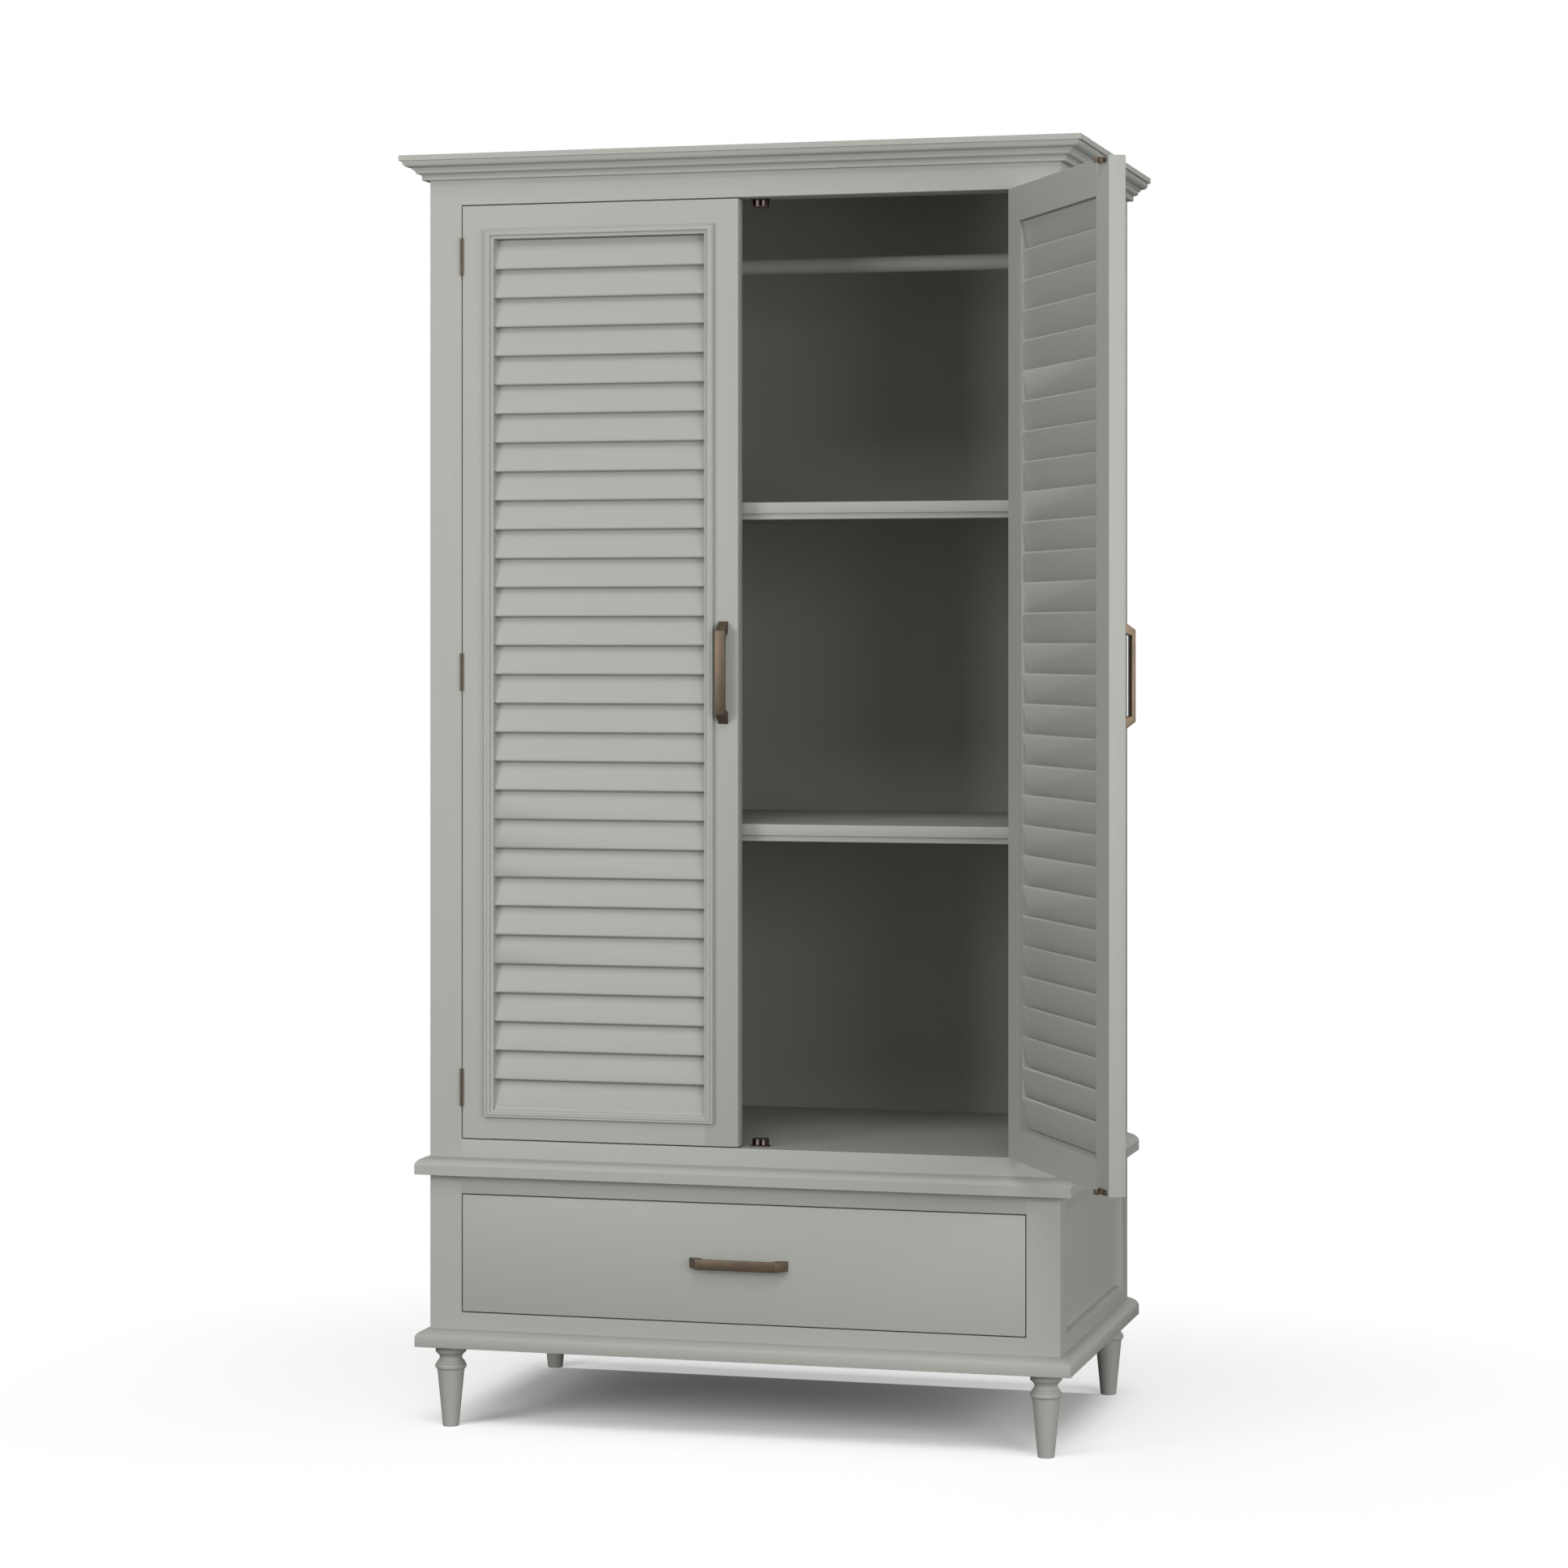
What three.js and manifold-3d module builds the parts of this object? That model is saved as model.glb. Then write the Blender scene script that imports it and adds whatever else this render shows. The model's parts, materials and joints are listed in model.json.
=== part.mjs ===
// Louvred door cabinet: a painted wardrobe with two louvred doors over one wide drawer,
// on four short turned legs. It is modelled as it stands for display: the left door is
// shut, the right door is swung open and the drawer is in.
// Millimetres, +Z up, and the front faces -Y. Left and right are as seen from the front.

import * as THREE from "three";
import Module from "manifold-3d";
import { mergeVertices } from "three/addons/utils/BufferGeometryUtils.js";

const wasm = await Module();
wasm.setup();

// Fits
const seam = 0.1; // hairline between two glued or screwed boards
const clearance = 0.3; // round a piece that sits in a housing or turns on a pin
const overrun = 5; // how far a cutting shape runs past the face it cuts

// Carcass, widths and depths
const carcassWidth = 1092;
const carcassDepth = 628;
const sideThickness = 24;
const housingDepth = 6; // of the grooves in the sides for the shelves, floor, back and rod
const frameThickness = 27; // of the face frame and of the doors that lie flush in it
const frameStileWidth = 56.5;
const topRailDepth = 61; // the top rail is as deep as the batten that carries the catches
const backThickness = 12;
const backInset = 18; // back panel behind the rear edges of the sides

// Carcass, heights from the floor up
const legHeight = 139.5;
const baseMouldingHeight = 30;
const bottomRailHeight = 29;
const drawerOpeningHeight = 202.5;
const waistRevealBelow = 32;
const waistMouldingHeight = 30;
const waistRevealAbove = 30.5;
const doorOpeningHeight = 1589;
const friezeHeight = 43;
const corniceHeight = 40;
const floorThickness = 20;
const topThickness = 20;

// Panelled sides
const sidePanelRecess = 12;
const sideFrontStile = 60; // counted from the face of the cabinet
const sideBackStile = 60;

// Mouldings round the carcass
const baseMouldingProjection = 21;
const waistMouldingProjection = 21;
const corniceProjection = 42;
const curveSteps = 6;
const legCurveSteps = 3;

// Shelves and hanging rod
const shelfPitch = 540; // cupboard floor to lower shelf, and lower shelf to upper shelf
const shelfThickness = 18.5;
const shelfSetback = 40;
const shelfLipHeight = 10;
const shelfLipWidth = 20;
const shelfLipSetback = 5;
const rodRadius = 14;
const rodDrop = 89.5; // rod's middle below the top of the cupboard's opening
const rodSides = 24;

// Legs
const legCollarRadius = 26.25;
const legInsetX = 28.5;
const legInsetFront = 25.25;
const legInsetBack = 31.75;
const legSides = 20;

// Doors
const revealGap = 2; // round each door and round the drawer front
const doorHingeStileWidth = 56;
const doorLockStileWidth = 58;
const doorTopRailWidth = 57;
const doorBottomRailWidth = 51.5;
const pivotProud = 2.7; // hinge pins in front of the door faces
const rightDoorOpenDegrees = 120;

// Louvres
const slatWidth = 56;
const slatThickness = 6;
const slatTiltDegrees = 15;
const slatSpacing = 49; // about what two slats are apart, before they are spread evenly
const slatSetback = 2;
const slatDrop = 3; // the lowest slat's foot below the level that the slats are spread from
const slatHousingDepth = 8;
const slatEdgeSteps = 5;

// Moulding planted on the doors round the louvres
const doorMouldingWidth = 16;
const doorMouldingProud = 8.5;
const doorMouldingOverhang = 1; // past the bottom rail's edge

// Drawer
const drawerFrontThickness = 22;
const drawerSideThickness = 14;
const drawerBackThickness = 14;
const drawerBottomThickness = 8;
const drawerBottomRaise = 10;
const drawerBoxHeight = 162;
const drawerBackGap = 31; // drawer's back to the back panel
const drawerSideGap = 6.5; // drawer side to the edge of the face frame's opening
const drawerLift = 1.5; // drawer sides above the bottom rail
const runnerThickness = 18;
const runnerGuideHeight = 26;

// Pulls
const pullFaceLength = 140;
const pullBaseLength = 172;
const pullWidth = 17;
const pullProjection = 22.5;
const pullBarThickness = 6.75;
const pullInnerBaseLength = 131;
const pullInnerLength = 123;
const pullBevel = 0.6;
const doorPullInset = 25.5; // pull's middle to the door's free edge

// Hinges
const knuckleRadius = 2.7;
const pinRadius = 1.2;
const hingeHeight = 64;
const hingeLeafDepth = 22;
const hingeLeafThickness = 0.7;
const hingeInset = 86.25; // hinge's middle to the door's end
const knuckleCount = 5;
const knuckleSides = 10;

// Roller catches and their strikes
const catchInset = 27; // catch's middle to the door's free edge
const catchPlateWidth = 34;
const catchPlateDepth = 14;
const catchPlateThickness = 1.3;
const catchSetback = 3; // catch plate behind the shut door
const catchCageWidth = 20.4;
const catchCageHeight = 13.8; // counted from under the plate
const rollerRadius = 3;
const rollerSpacing = 11.2;
const rollerSides = 10;
const strikeWidth = 36;
const strikeHeight = 8.4; // of the strip and of its tongue
const strikeThickness = 1.5;
const strikeInset = 5.6; // middle of the strike to the door's end
const strikeTongueReach = 16;
const strikeTongueThickness = 3;

// Outline points as shares of the size that each one follows.
// Base and waist moulding: [share of the projection, share of the height].
const thumbMouldingShares = {
  shoulder: [1, 0.55],
  pull: [0.93, 0.883],
};

// Cornice, from the bottom up: [share of the projection, share of the height].
const corniceShares = {
  fasciaFoot: [0.262, 0],
  fasciaHead: [0.262, 0.222],
  beadFoot: [0.33, 0.24],
  beadPull: [0.467, 0.245],
  beadHead: [0.476, 0.37],
  quirk: [0.476, 0.4],
  filletFoot: [0.567, 0.42],
  filletHead: [0.567, 0.492],
  ovoloFoot: [0.643, 0.507],
  ovoloPull: [0.869, 0.52],
  ovoloHead: [0.881, 0.71],
  stepHead: [0.881, 0.775],
  capFoot: [1, 0.775],
  capHead: [1, 1],
};

// Door moulding, from its outer edge inwards: [share of the width, share of how proud it is].
const doorMouldingShares = {
  beadFoot: [0, 0.68],
  beadPull: [0.08, 1.02],
  beadEnd: [0.17, 0.74],
  groove: [0.22, 0.7],
  bandPull: [0.42, 1.24],
  bandEnd: [0.66, 0.8],
  covePull: [0.68, 0.4],
  coveEnd: [0.74, 0.38],
  fillet: [1, 0.33],
};

// Turned leg, from the floor up: [share of the collar's radius, share of the height].
const legShares = {
  footFlat: [0.476, 0],
  footEdge: [0.53, 0.011],
  taperHead: [0.861, 0.655],
  beadPull: [0.885, 0.685],
  beadHead: [0.893, 0.703],
  ringFoot: [0.96, 0.71],
  ringPull: [1.02, 0.718],
  ringSwell: [1.02, 0.741],
  ringHeadPull: [1.02, 0.759],
  ringHead: [0.96, 0.766],
  groove: [0.92, 0.771],
  quirk: [0.93, 0.785],
  neckPull: [0.73, 0.822],
  neck: [0.73, 0.845],
  flarePull: [0.73, 0.874],
  collarFoot: [1, 0.9125],
  collarHead: [1, 1],
};

// Levels and lines that follow from the sizes above
const baseTop = legHeight + baseMouldingHeight;
const drawerOpeningBottom = baseTop + bottomRailHeight;
const drawerOpeningTop = drawerOpeningBottom + drawerOpeningHeight;
const waistBottom = drawerOpeningTop + waistRevealBelow;
const waistTop = waistBottom + waistMouldingHeight;
const doorOpeningBottom = waistTop + waistRevealAbove;
const doorOpeningTop = doorOpeningBottom + doorOpeningHeight;
const corniceBottom = doorOpeningTop + friezeHeight;
const cabinetTop = corniceBottom + corniceHeight;
const ceiling = cabinetTop - topThickness;
const halfWidth = carcassWidth / 2;
const sideInner = halfWidth - sideThickness;
const openingHalf = halfWidth - frameStileWidth;
const backFace = carcassDepth - backInset - backThickness;
const rodHeight = doorOpeningTop - rodDrop;
const rodSetback = backFace / 2;
const housedHalf = sideInner + housingDepth - clearance; // half a board housed in both sides

const doorBottom = doorOpeningBottom + revealGap;
const doorTop = doorOpeningTop - revealGap;
const doorWidth = openingHalf - revealGap * 1.5;
const doorHingeEdge = revealGap / 2; // from the pin, towards the door's free edge
const doorFreeEdge = doorHingeEdge + doorWidth;
const doorFace = pivotProud;
const doorBack = pivotProud + frameThickness;
const louvreStart = doorHingeEdge + doorHingeStileWidth;
const louvreEnd = doorFreeEdge - doorLockStileWidth;
const bottomRailTop = doorBottom + doorBottomRailWidth;
const louvreBottom = bottomRailTop + slatDrop;
const louvreTop = doorTop - doorTopRailWidth;
const slatCount = Math.round((louvreTop - louvreBottom) / slatSpacing);
const slatPitch = (louvreTop - louvreBottom) / slatCount;
const hingeLevels = [doorBottom + hingeInset, (doorBottom + doorTop) / 2, doorTop - hingeInset];

const drawerBoxBottom = drawerOpeningBottom + drawerLift;
const drawerBoxHalf = openingHalf - drawerSideGap;
const drawerBoxInner = drawerBoxHalf - drawerSideThickness;
const drawerBoxBack = backFace - drawerBackGap;

// Finishes
const paint = new THREE.MeshStandardMaterial({ color: "#b0b2ab", roughness: 0.55, metalness: 0 });
const bronze = new THREE.MeshStandardMaterial({ color: "#7a6652", roughness: 0.45, metalness: 0.8 });
const bareWood = new THREE.MeshStandardMaterial({ color: "#b9b6a8", roughness: 0.7, metalness: 0 });

// How an outline drawn in x and y is stood up before it is run lengthwise
const axisX = new THREE.Vector3(1, 0, 0);
const axisY = new THREE.Vector3(0, 1, 0);
const axisZ = new THREE.Vector3(0, 0, 1);
const lengthwiseX = new THREE.Matrix4().makeBasis(axisY, axisZ, axisX);
const lengthwiseY = new THREE.Matrix4().makeBasis(axisZ, axisX, axisY);

// A box between two values on each axis.
function block([x0, x1], [y0, y1], [z0, z1]) {
  const box = new THREE.BoxGeometry(x1 - x0, y1 - y0, z1 - z0);
  return box.translate((x0 + x1) / 2, (y0 + y1) / 2, (z0 + z1) / 2);
}

// A board that fills the same box but stands half a seam clear of its neighbours.
function board([x0, x1], [y0, y1], [z0, z1]) {
  const ease = seam / 2;
  return block([x0 + ease, x1 - ease], [y0 + ease, y1 - ease], [z0 + ease, z1 - ease]);
}

// An outline run from one value to another along X or Y.
function prism(outline, from, to, lengthwise) {
  const shape = new THREE.Shape(outline);
  const run = new THREE.ExtrudeGeometry(shape, { depth: to - from, bevelEnabled: false });
  return run.translate(0, 0, from).applyMatrix4(lengthwise);
}

// A round bar or bore between two heights, about the Z axis.
function upright(radius, z0, z1, sides) {
  const bar = new THREE.CylinderGeometry(radius, radius, z1 - z0, sides);
  return bar.rotateX(Math.PI / 2).translate(0, 0, (z0 + z1) / 2);
}

function solidOf(geometry) {
  const bare = geometry.clone();
  bare.deleteAttribute("normal");
  bare.deleteAttribute("uv");
  const joined = mergeVertices(bare);
  const mesh = new wasm.Mesh({
    numProp: 3,
    vertProperties: new Float32Array(joined.attributes.position.array),
    triVerts: new Uint32Array(joined.index.array),
  });
  return new wasm.Manifold(mesh);
}

function geometryOf(solid) {
  const mesh = solid.getMesh();
  const geometry = new THREE.BufferGeometry();
  geometry.setAttribute("position", new THREE.BufferAttribute(new Float32Array(mesh.vertProperties), 3));
  geometry.setIndex(new THREE.BufferAttribute(new Uint32Array(mesh.triVerts), 1));
  geometry.computeVertexNormals();
  return geometry;
}

// The first geometry with the others joined to it.
function joinedTo(geometry, additions) {
  return geometryOf(additions.reduce((solid, other) => solid.add(solidOf(other)), solidOf(geometry)));
}

// The first geometry with the others cut out of it.
function cutFrom(geometry, cutters) {
  return geometryOf(cutters.reduce((solid, other) => solid.subtract(solidOf(other)), solidOf(geometry)));
}

// The left-hand twin of a right-hand piece, or the other way round.
function mirrored(geometry) {
  return geometryOf(solidOf(geometry).mirror([1, 0, 0]));
}

// The same piece turned upside down about a level.
function flippedAt(level, geometry) {
  return geometryOf(solidOf(geometry).mirror([0, 0, 1])).translate(0, 0, level + level);
}

// A skin stretched over rings of points, closed by joining the last ring to the first
// or by a cap over each end ring. The outline is a ring laid flat, anticlockwise.
function loft(rings, outline, isLoop) {
  const count = outline.length;
  const index = [];
  const spans = isLoop ? rings.length : rings.length - 1;
  for (let ring = 0; ring < spans; ring += 1) {
    const here = ring * count;
    const next = ((ring + 1) % rings.length) * count;
    for (let point = 0; point < count; point += 1) {
      const after = (point + 1) % count;
      index.push(here + point, here + after, next + after);
      index.push(here + point, next + after, next + point);
    }
  }
  if (!isLoop) {
    const last = (rings.length - 1) * count;
    for (const [a, b, c] of THREE.ShapeUtils.triangulateShape(outline, [])) {
      index.push(c, b, a);
      index.push(last + a, last + b, last + c);
    }
  }
  const geometry = new THREE.BufferGeometry().setFromPoints(rings.flat());
  geometry.setIndex(index);
  return facingOut(geometry);
}

// Turns every triangle over if the skin came out inside out.
function facingOut(geometry) {
  const corners = geometry.attributes.position;
  const order = geometry.index;
  const [a, b, c] = [new THREE.Vector3(), new THREE.Vector3(), new THREE.Vector3()];
  let volume = 0;
  for (let face = 0; face < order.count; face += 3) {
    a.fromBufferAttribute(corners, order.getX(face));
    b.fromBufferAttribute(corners, order.getX(face + 1));
    c.fromBufferAttribute(corners, order.getX(face + 2));
    volume += a.dot(b.cross(c));
  }
  if (volume < 0) {
    geometry.setIndex(Array.from(order.array).reverse());
  }
  geometry.computeVertexNormals();
  return geometry;
}

// A point of an outline from its shares of a width and a height.
function shared([acrossShare, upShare], width, height) {
  return [acrossShare * width, upShare * height];
}

// Outline points of a path, anticlockwise and without the repeated last point.
function outlineOf(path) {
  const points = path.getPoints(curveSteps);
  if (points[0].equals(points[points.length - 1])) {
    points.pop();
  }
  return THREE.ShapeUtils.isClockWise(points) ? points.reverse() : points;
}

// Square below and rounded over above: the outer face of the base and waist mouldings.
function thumbMoulding(projection, height) {
  const at = (name) => shared(thumbMouldingShares[name], projection, height);
  const path = new THREE.Path();
  path.moveTo(0, 0);
  path.lineTo(projection, 0);
  path.lineTo(...at("shoulder"));
  path.quadraticCurveTo(...at("pull"), 0, height);
  return outlineOf(path);
}

function corniceOutline() {
  const at = (name) => shared(corniceShares[name], corniceProjection, corniceHeight);
  const path = new THREE.Path();
  path.moveTo(0, 0);
  path.lineTo(...at("fasciaFoot"));
  path.lineTo(...at("fasciaHead"));
  path.lineTo(...at("beadFoot"));
  path.quadraticCurveTo(...at("beadPull"), ...at("beadHead"));
  path.lineTo(...at("quirk"));
  path.lineTo(...at("filletFoot"));
  path.lineTo(...at("filletHead"));
  path.lineTo(...at("ovoloFoot"));
  path.quadraticCurveTo(...at("ovoloPull"), ...at("ovoloHead"));
  path.lineTo(...at("stepHead"));
  path.lineTo(...at("capFoot"));
  path.lineTo(...at("capHead"));
  path.lineTo(0, corniceHeight);
  return outlineOf(path);
}

function doorMouldingOutline() {
  const at = (name) => shared(doorMouldingShares[name], doorMouldingWidth, doorMouldingProud);
  const path = new THREE.Path();
  path.moveTo(0, 0);
  path.lineTo(...at("beadFoot"));
  path.quadraticCurveTo(...at("beadPull"), ...at("beadEnd"));
  path.lineTo(...at("groove"));
  path.quadraticCurveTo(...at("bandPull"), ...at("bandEnd"));
  path.quadraticCurveTo(...at("covePull"), ...at("coveEnd"));
  path.lineTo(...at("fillet"));
  path.lineTo(doorMouldingWidth, 0);
  return outlineOf(path);
}

// A moulding mitred round the left side, the front and the right side of the carcass.
function mouldingRoundCarcass(outline, level) {
  const stations = [
    { x: -halfWidth, y: carcassDepth, outX: -1, outY: 0 },
    { x: -halfWidth, y: 0, outX: -1, outY: -1 },
    { x: halfWidth, y: 0, outX: 1, outY: -1 },
    { x: halfWidth, y: carcassDepth, outX: 1, outY: 0 },
  ];
  const rings = stations.map(({ x, y, outX, outY }) =>
    outline.map((point) => {
      const out = point.x + seam;
      return new THREE.Vector3(x + outX * out, y + outY * out, level + point.y);
    }),
  );
  return loft(rings, outline, false);
}

// The bottom board of the carcass, whose front and side edges are moulded.
function baseBoard() {
  const outer = thumbMoulding(baseMouldingProjection, baseMouldingHeight);
  const levels = outer.filter((point) => point.x > 0 || point.y > 0);
  const rings = levels.map((point) => {
    const half = halfWidth + point.x;
    const z = legHeight + seam / 2 + (point.y * (baseMouldingHeight - seam)) / baseMouldingHeight;
    return [
      new THREE.Vector3(-half, -point.x, z),
      new THREE.Vector3(half, -point.x, z),
      new THREE.Vector3(half, carcassDepth, z),
      new THREE.Vector3(-half, carcassDepth, z),
    ];
  });
  const footprint = rings[0].map((corner) => new THREE.Vector2(corner.x, corner.y));
  return loft(rings, footprint, false);
}

// A side of the carcass: a flat panel sunk in a frame outside, and grooves inside for
// the cupboard floor, the shelves, the back panel and the end of the hanging rod.
function leftSide() {
  const outside = [-halfWidth - overrun, -halfWidth + sidePanelRecess];
  const housing = [-sideInner - housingDepth, -sideInner + overrun];
  const panelDepths = [sideFrontStile, carcassDepth - sideBackStile];
  const housedBoard = (front, bottom, top) =>
    block(housing, [front - clearance, backFace + clearance], [bottom - clearance, top + clearance]);
  const rodBore = upright(rodRadius + clearance, ...housing, rodSides);
  rodBore.rotateY(Math.PI / 2).translate(0, rodSetback, rodHeight);
  const cuts = [
    block(outside, panelDepths, [drawerOpeningBottom, drawerOpeningTop]),
    block(outside, panelDepths, [doorOpeningBottom, doorOpeningTop]),
    block(housing, [backFace - clearance, backFace + backThickness + clearance], [0, cabinetTop]),
    housedBoard(frameThickness - overrun, doorOpeningBottom - floorThickness, doorOpeningBottom),
    ...shelfTops().map((top) => housedBoard(shelfSetback, top - shelfThickness, top)),
    rodBore,
  ];
  const plank = board([-halfWidth, -sideInner], [frameThickness, carcassDepth], [baseTop, ceiling]);
  return cutFrom(plank, cuts);
}

function shelfTops() {
  return [doorOpeningBottom + shelfPitch, doorOpeningBottom + shelfPitch * 2];
}

// A shelf housed in both sides, with a stiffening lip under its front edge.
function shelf(top) {
  const ease = seam / 2;
  const bottom = top - shelfThickness;
  const body = block([-housedHalf, housedHalf], [shelfSetback, backFace - ease], [bottom, top]);
  const lipFront = shelfSetback + shelfLipSetback;
  const lip = block(
    [-sideInner + clearance, sideInner - clearance],
    [lipFront, lipFront + shelfLipWidth],
    [bottom - shelfLipHeight, bottom + shelfThickness / 2],
  );
  return joinedTo(body, [lip]);
}

function hangingRod() {
  const rod = upright(rodRadius, -housedHalf, housedHalf, rodSides);
  return rod.rotateY(Math.PI / 2).translate(0, rodSetback, rodHeight);
}

// A turned leg: a taper, a bead, a bold ring, a hollow neck and a collar.
function leg() {
  const at = (name) => shared(legShares[name], legCollarRadius, legHeight - seam);
  const path = new THREE.Path();
  path.moveTo(0, 0);
  path.lineTo(...at("footFlat"));
  path.lineTo(...at("footEdge"));
  path.lineTo(...at("taperHead"));
  path.quadraticCurveTo(...at("beadPull"), ...at("beadHead"));
  path.lineTo(...at("ringFoot"));
  path.quadraticCurveTo(...at("ringPull"), ...at("ringSwell"));
  path.quadraticCurveTo(...at("ringHeadPull"), ...at("ringHead"));
  path.lineTo(...at("groove"));
  path.lineTo(...at("quirk"));
  path.quadraticCurveTo(...at("neckPull"), ...at("neck"));
  path.quadraticCurveTo(...at("flarePull"), ...at("collarFoot"));
  path.lineTo(...at("collarHead"));
  path.lineTo(0, legHeight - seam);
  return new THREE.LatheGeometry(path.getPoints(legCurveSteps), legSides).rotateX(Math.PI / 2);
}

// A wooden runner: a ledge under the drawer's side and a guide beside it.
function leftRunner() {
  const ledgeTop = drawerBoxBottom - clearance;
  const ledgeBottom = ledgeTop - runnerThickness;
  const wall = -sideInner + seam;
  const guide = -drawerBoxHalf - clearance;
  const outline = [
    new THREE.Vector2(ledgeBottom, wall),
    new THREE.Vector2(ledgeBottom, -drawerBoxInner),
    new THREE.Vector2(ledgeTop, -drawerBoxInner),
    new THREE.Vector2(ledgeTop, guide),
    new THREE.Vector2(ledgeTop + runnerGuideHeight, guide),
    new THREE.Vector2(ledgeTop + runnerGuideHeight, wall),
  ];
  return prism(outline, frameThickness + seam, backFace - seam, lengthwiseY);
}

// A bow pull: a flat bar on two feet whose outer faces slant in, in x by y, projecting to +y.
function pull() {
  const crossbar = pullProjection - pullBarThickness;
  const half = (length) => length / 2;
  const outline = [
    new THREE.Vector2(-half(pullBaseLength), 0),
    new THREE.Vector2(-half(pullInnerBaseLength), 0),
    new THREE.Vector2(-half(pullInnerLength), crossbar),
    new THREE.Vector2(half(pullInnerLength), crossbar),
    new THREE.Vector2(half(pullInnerBaseLength), 0),
    new THREE.Vector2(half(pullBaseLength), 0),
    new THREE.Vector2(half(pullFaceLength), pullProjection),
    new THREE.Vector2(-half(pullFaceLength), pullProjection),
  ];
  const bar = new THREE.ExtrudeGeometry(new THREE.Shape(outline), {
    depth: pullWidth - pullBevel * 2,
    bevelThickness: pullBevel,
    bevelSize: pullBevel,
    bevelOffset: -pullBevel,
    bevelSegments: 1,
  });
  return bar.translate(0, 0, pullBevel - pullWidth / 2);
}

function pullAcross() {
  return pull().rotateX(Math.PI);
}

function pullUpright() {
  return pull().applyMatrix4(new THREE.Matrix4().makeBasis(axisZ, axisY.clone().negate(), axisX));
}

// One leaf of a butt hinge, on the +X side of its pin: a plate with its share of knuckles.
// The leaf on the face frame carries the pin, and the leaf on the door turns round it.
function hingeLeaf(level, carriesPin) {
  const bottom = level - hingeHeight / 2;
  const top = level + hingeHeight / 2;
  const knucklePitch = hingeHeight / knuckleCount;
  const betweenLeaves = (revealGap - seam * 2 - hingeLeafThickness * 2) / 2;
  const thickness = [betweenLeaves, betweenLeaves + hingeLeafThickness];
  const plateFront = knuckleRadius + clearance;
  const plate = block(thickness, [plateFront, hingeLeafDepth], [bottom, top]);
  const additions = [];
  for (let knuckle = carriesPin ? 0 : 1; knuckle < knuckleCount; knuckle += 2) {
    const z0 = bottom + knucklePitch * knuckle + clearance / 2;
    const z1 = z0 + knucklePitch - clearance;
    additions.push(upright(knuckleRadius, z0, z1, knuckleSides));
    additions.push(block(thickness, [0, plateFront + hingeLeafThickness], [z0, z1]));
  }
  if (carriesPin) {
    return joinedTo(plate, [...additions, upright(pinRadius, bottom + clearance, top - clearance, knuckleSides)]);
  }
  const bore = upright(pinRadius + clearance, bottom - overrun, top + overrun, knuckleSides);
  return cutFrom(joinedTo(plate, additions), [bore]);
}

// The outline of a slat on edge, in y by z: flat faces and half-round edges. The highest
// slat is cut short at its head, to clear the top rail.
function slatOutline(index, growth) {
  const lean = THREE.MathUtils.degToRad(slatTiltDegrees);
  const edge = slatThickness / 2;
  const foot = bottomRailTop + clearance + edge + slatPitch * index;
  const head = foot + (slatWidth - slatThickness) * Math.cos(lean);
  const highest = louvreTop - clearance - edge;
  const centreAt = (level) =>
    new THREE.Vector2(doorFace + slatSetback + edge + (level - foot) * Math.tan(lean), level);
  const ends = [
    { centre: centreAt(Math.min(head, highest)), start: -lean },
    { centre: centreAt(foot), start: Math.PI - lean },
  ];
  return ends.flatMap(({ centre, start }) =>
    Array.from({ length: slatEdgeSteps + 1 }, (_, step) => {
      const turn = start + (Math.PI * step) / slatEdgeSteps;
      const arm = new THREE.Vector2(Math.cos(turn), Math.sin(turn)).multiplyScalar(edge + growth);
      return arm.add(centre);
    }),
  );
}

function slatIndices() {
  return Array.from({ length: slatCount }, (_, index) => index);
}

// The stile that carries the hinges, with all the slats let into it and glued.
function louvredHingeStile() {
  const rooted = louvreStart - slatHousingDepth;
  const tip = louvreEnd + slatHousingDepth - clearance;
  const slats = slatIndices().map((index) => prism(slatOutline(index, 0), rooted, tip, lengthwiseX));
  const stile = board([doorHingeEdge, louvreStart], [doorFace, doorBack], [doorBottom, doorTop]);
  return joinedTo(stile, slats);
}

// The stile at the free edge, with a blind housing for the end of each slat.
function housedLockStile() {
  const housings = slatIndices().map((index) =>
    prism(slatOutline(index, clearance), louvreEnd - overrun, louvreEnd + slatHousingDepth, lengthwiseX),
  );
  const stile = board([louvreEnd, doorFreeEdge], [doorFace, doorBack], [doorBottom, doorTop]);
  return cutFrom(stile, housings);
}

function doorRail(bottom, top) {
  return board([louvreStart, louvreEnd], [doorFace, doorBack], [bottom, top]);
}

// The moulding planted on the door's face, mitred at its four corners.
function doorMoulding() {
  const outline = doorMouldingOutline();
  const left = louvreStart - doorMouldingWidth;
  const right = louvreEnd + doorMouldingWidth;
  const bottom = bottomRailTop + doorMouldingOverhang - doorMouldingWidth;
  const top = louvreTop + doorMouldingWidth;
  const corners = [
    { x: left, z: bottom, inX: 1, inZ: 1 },
    { x: right, z: bottom, inX: -1, inZ: 1 },
    { x: right, z: top, inX: -1, inZ: -1 },
    { x: left, z: top, inX: 1, inZ: -1 },
  ];
  const rings = corners.map(({ x, z, inX, inZ }) =>
    outline.map((point) => {
      const y = doorFace - seam - point.y;
      return new THREE.Vector3(x + inX * point.x, y, z + inZ * point.x);
    }),
  );
  return loft(rings, outline, true);
}

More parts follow.
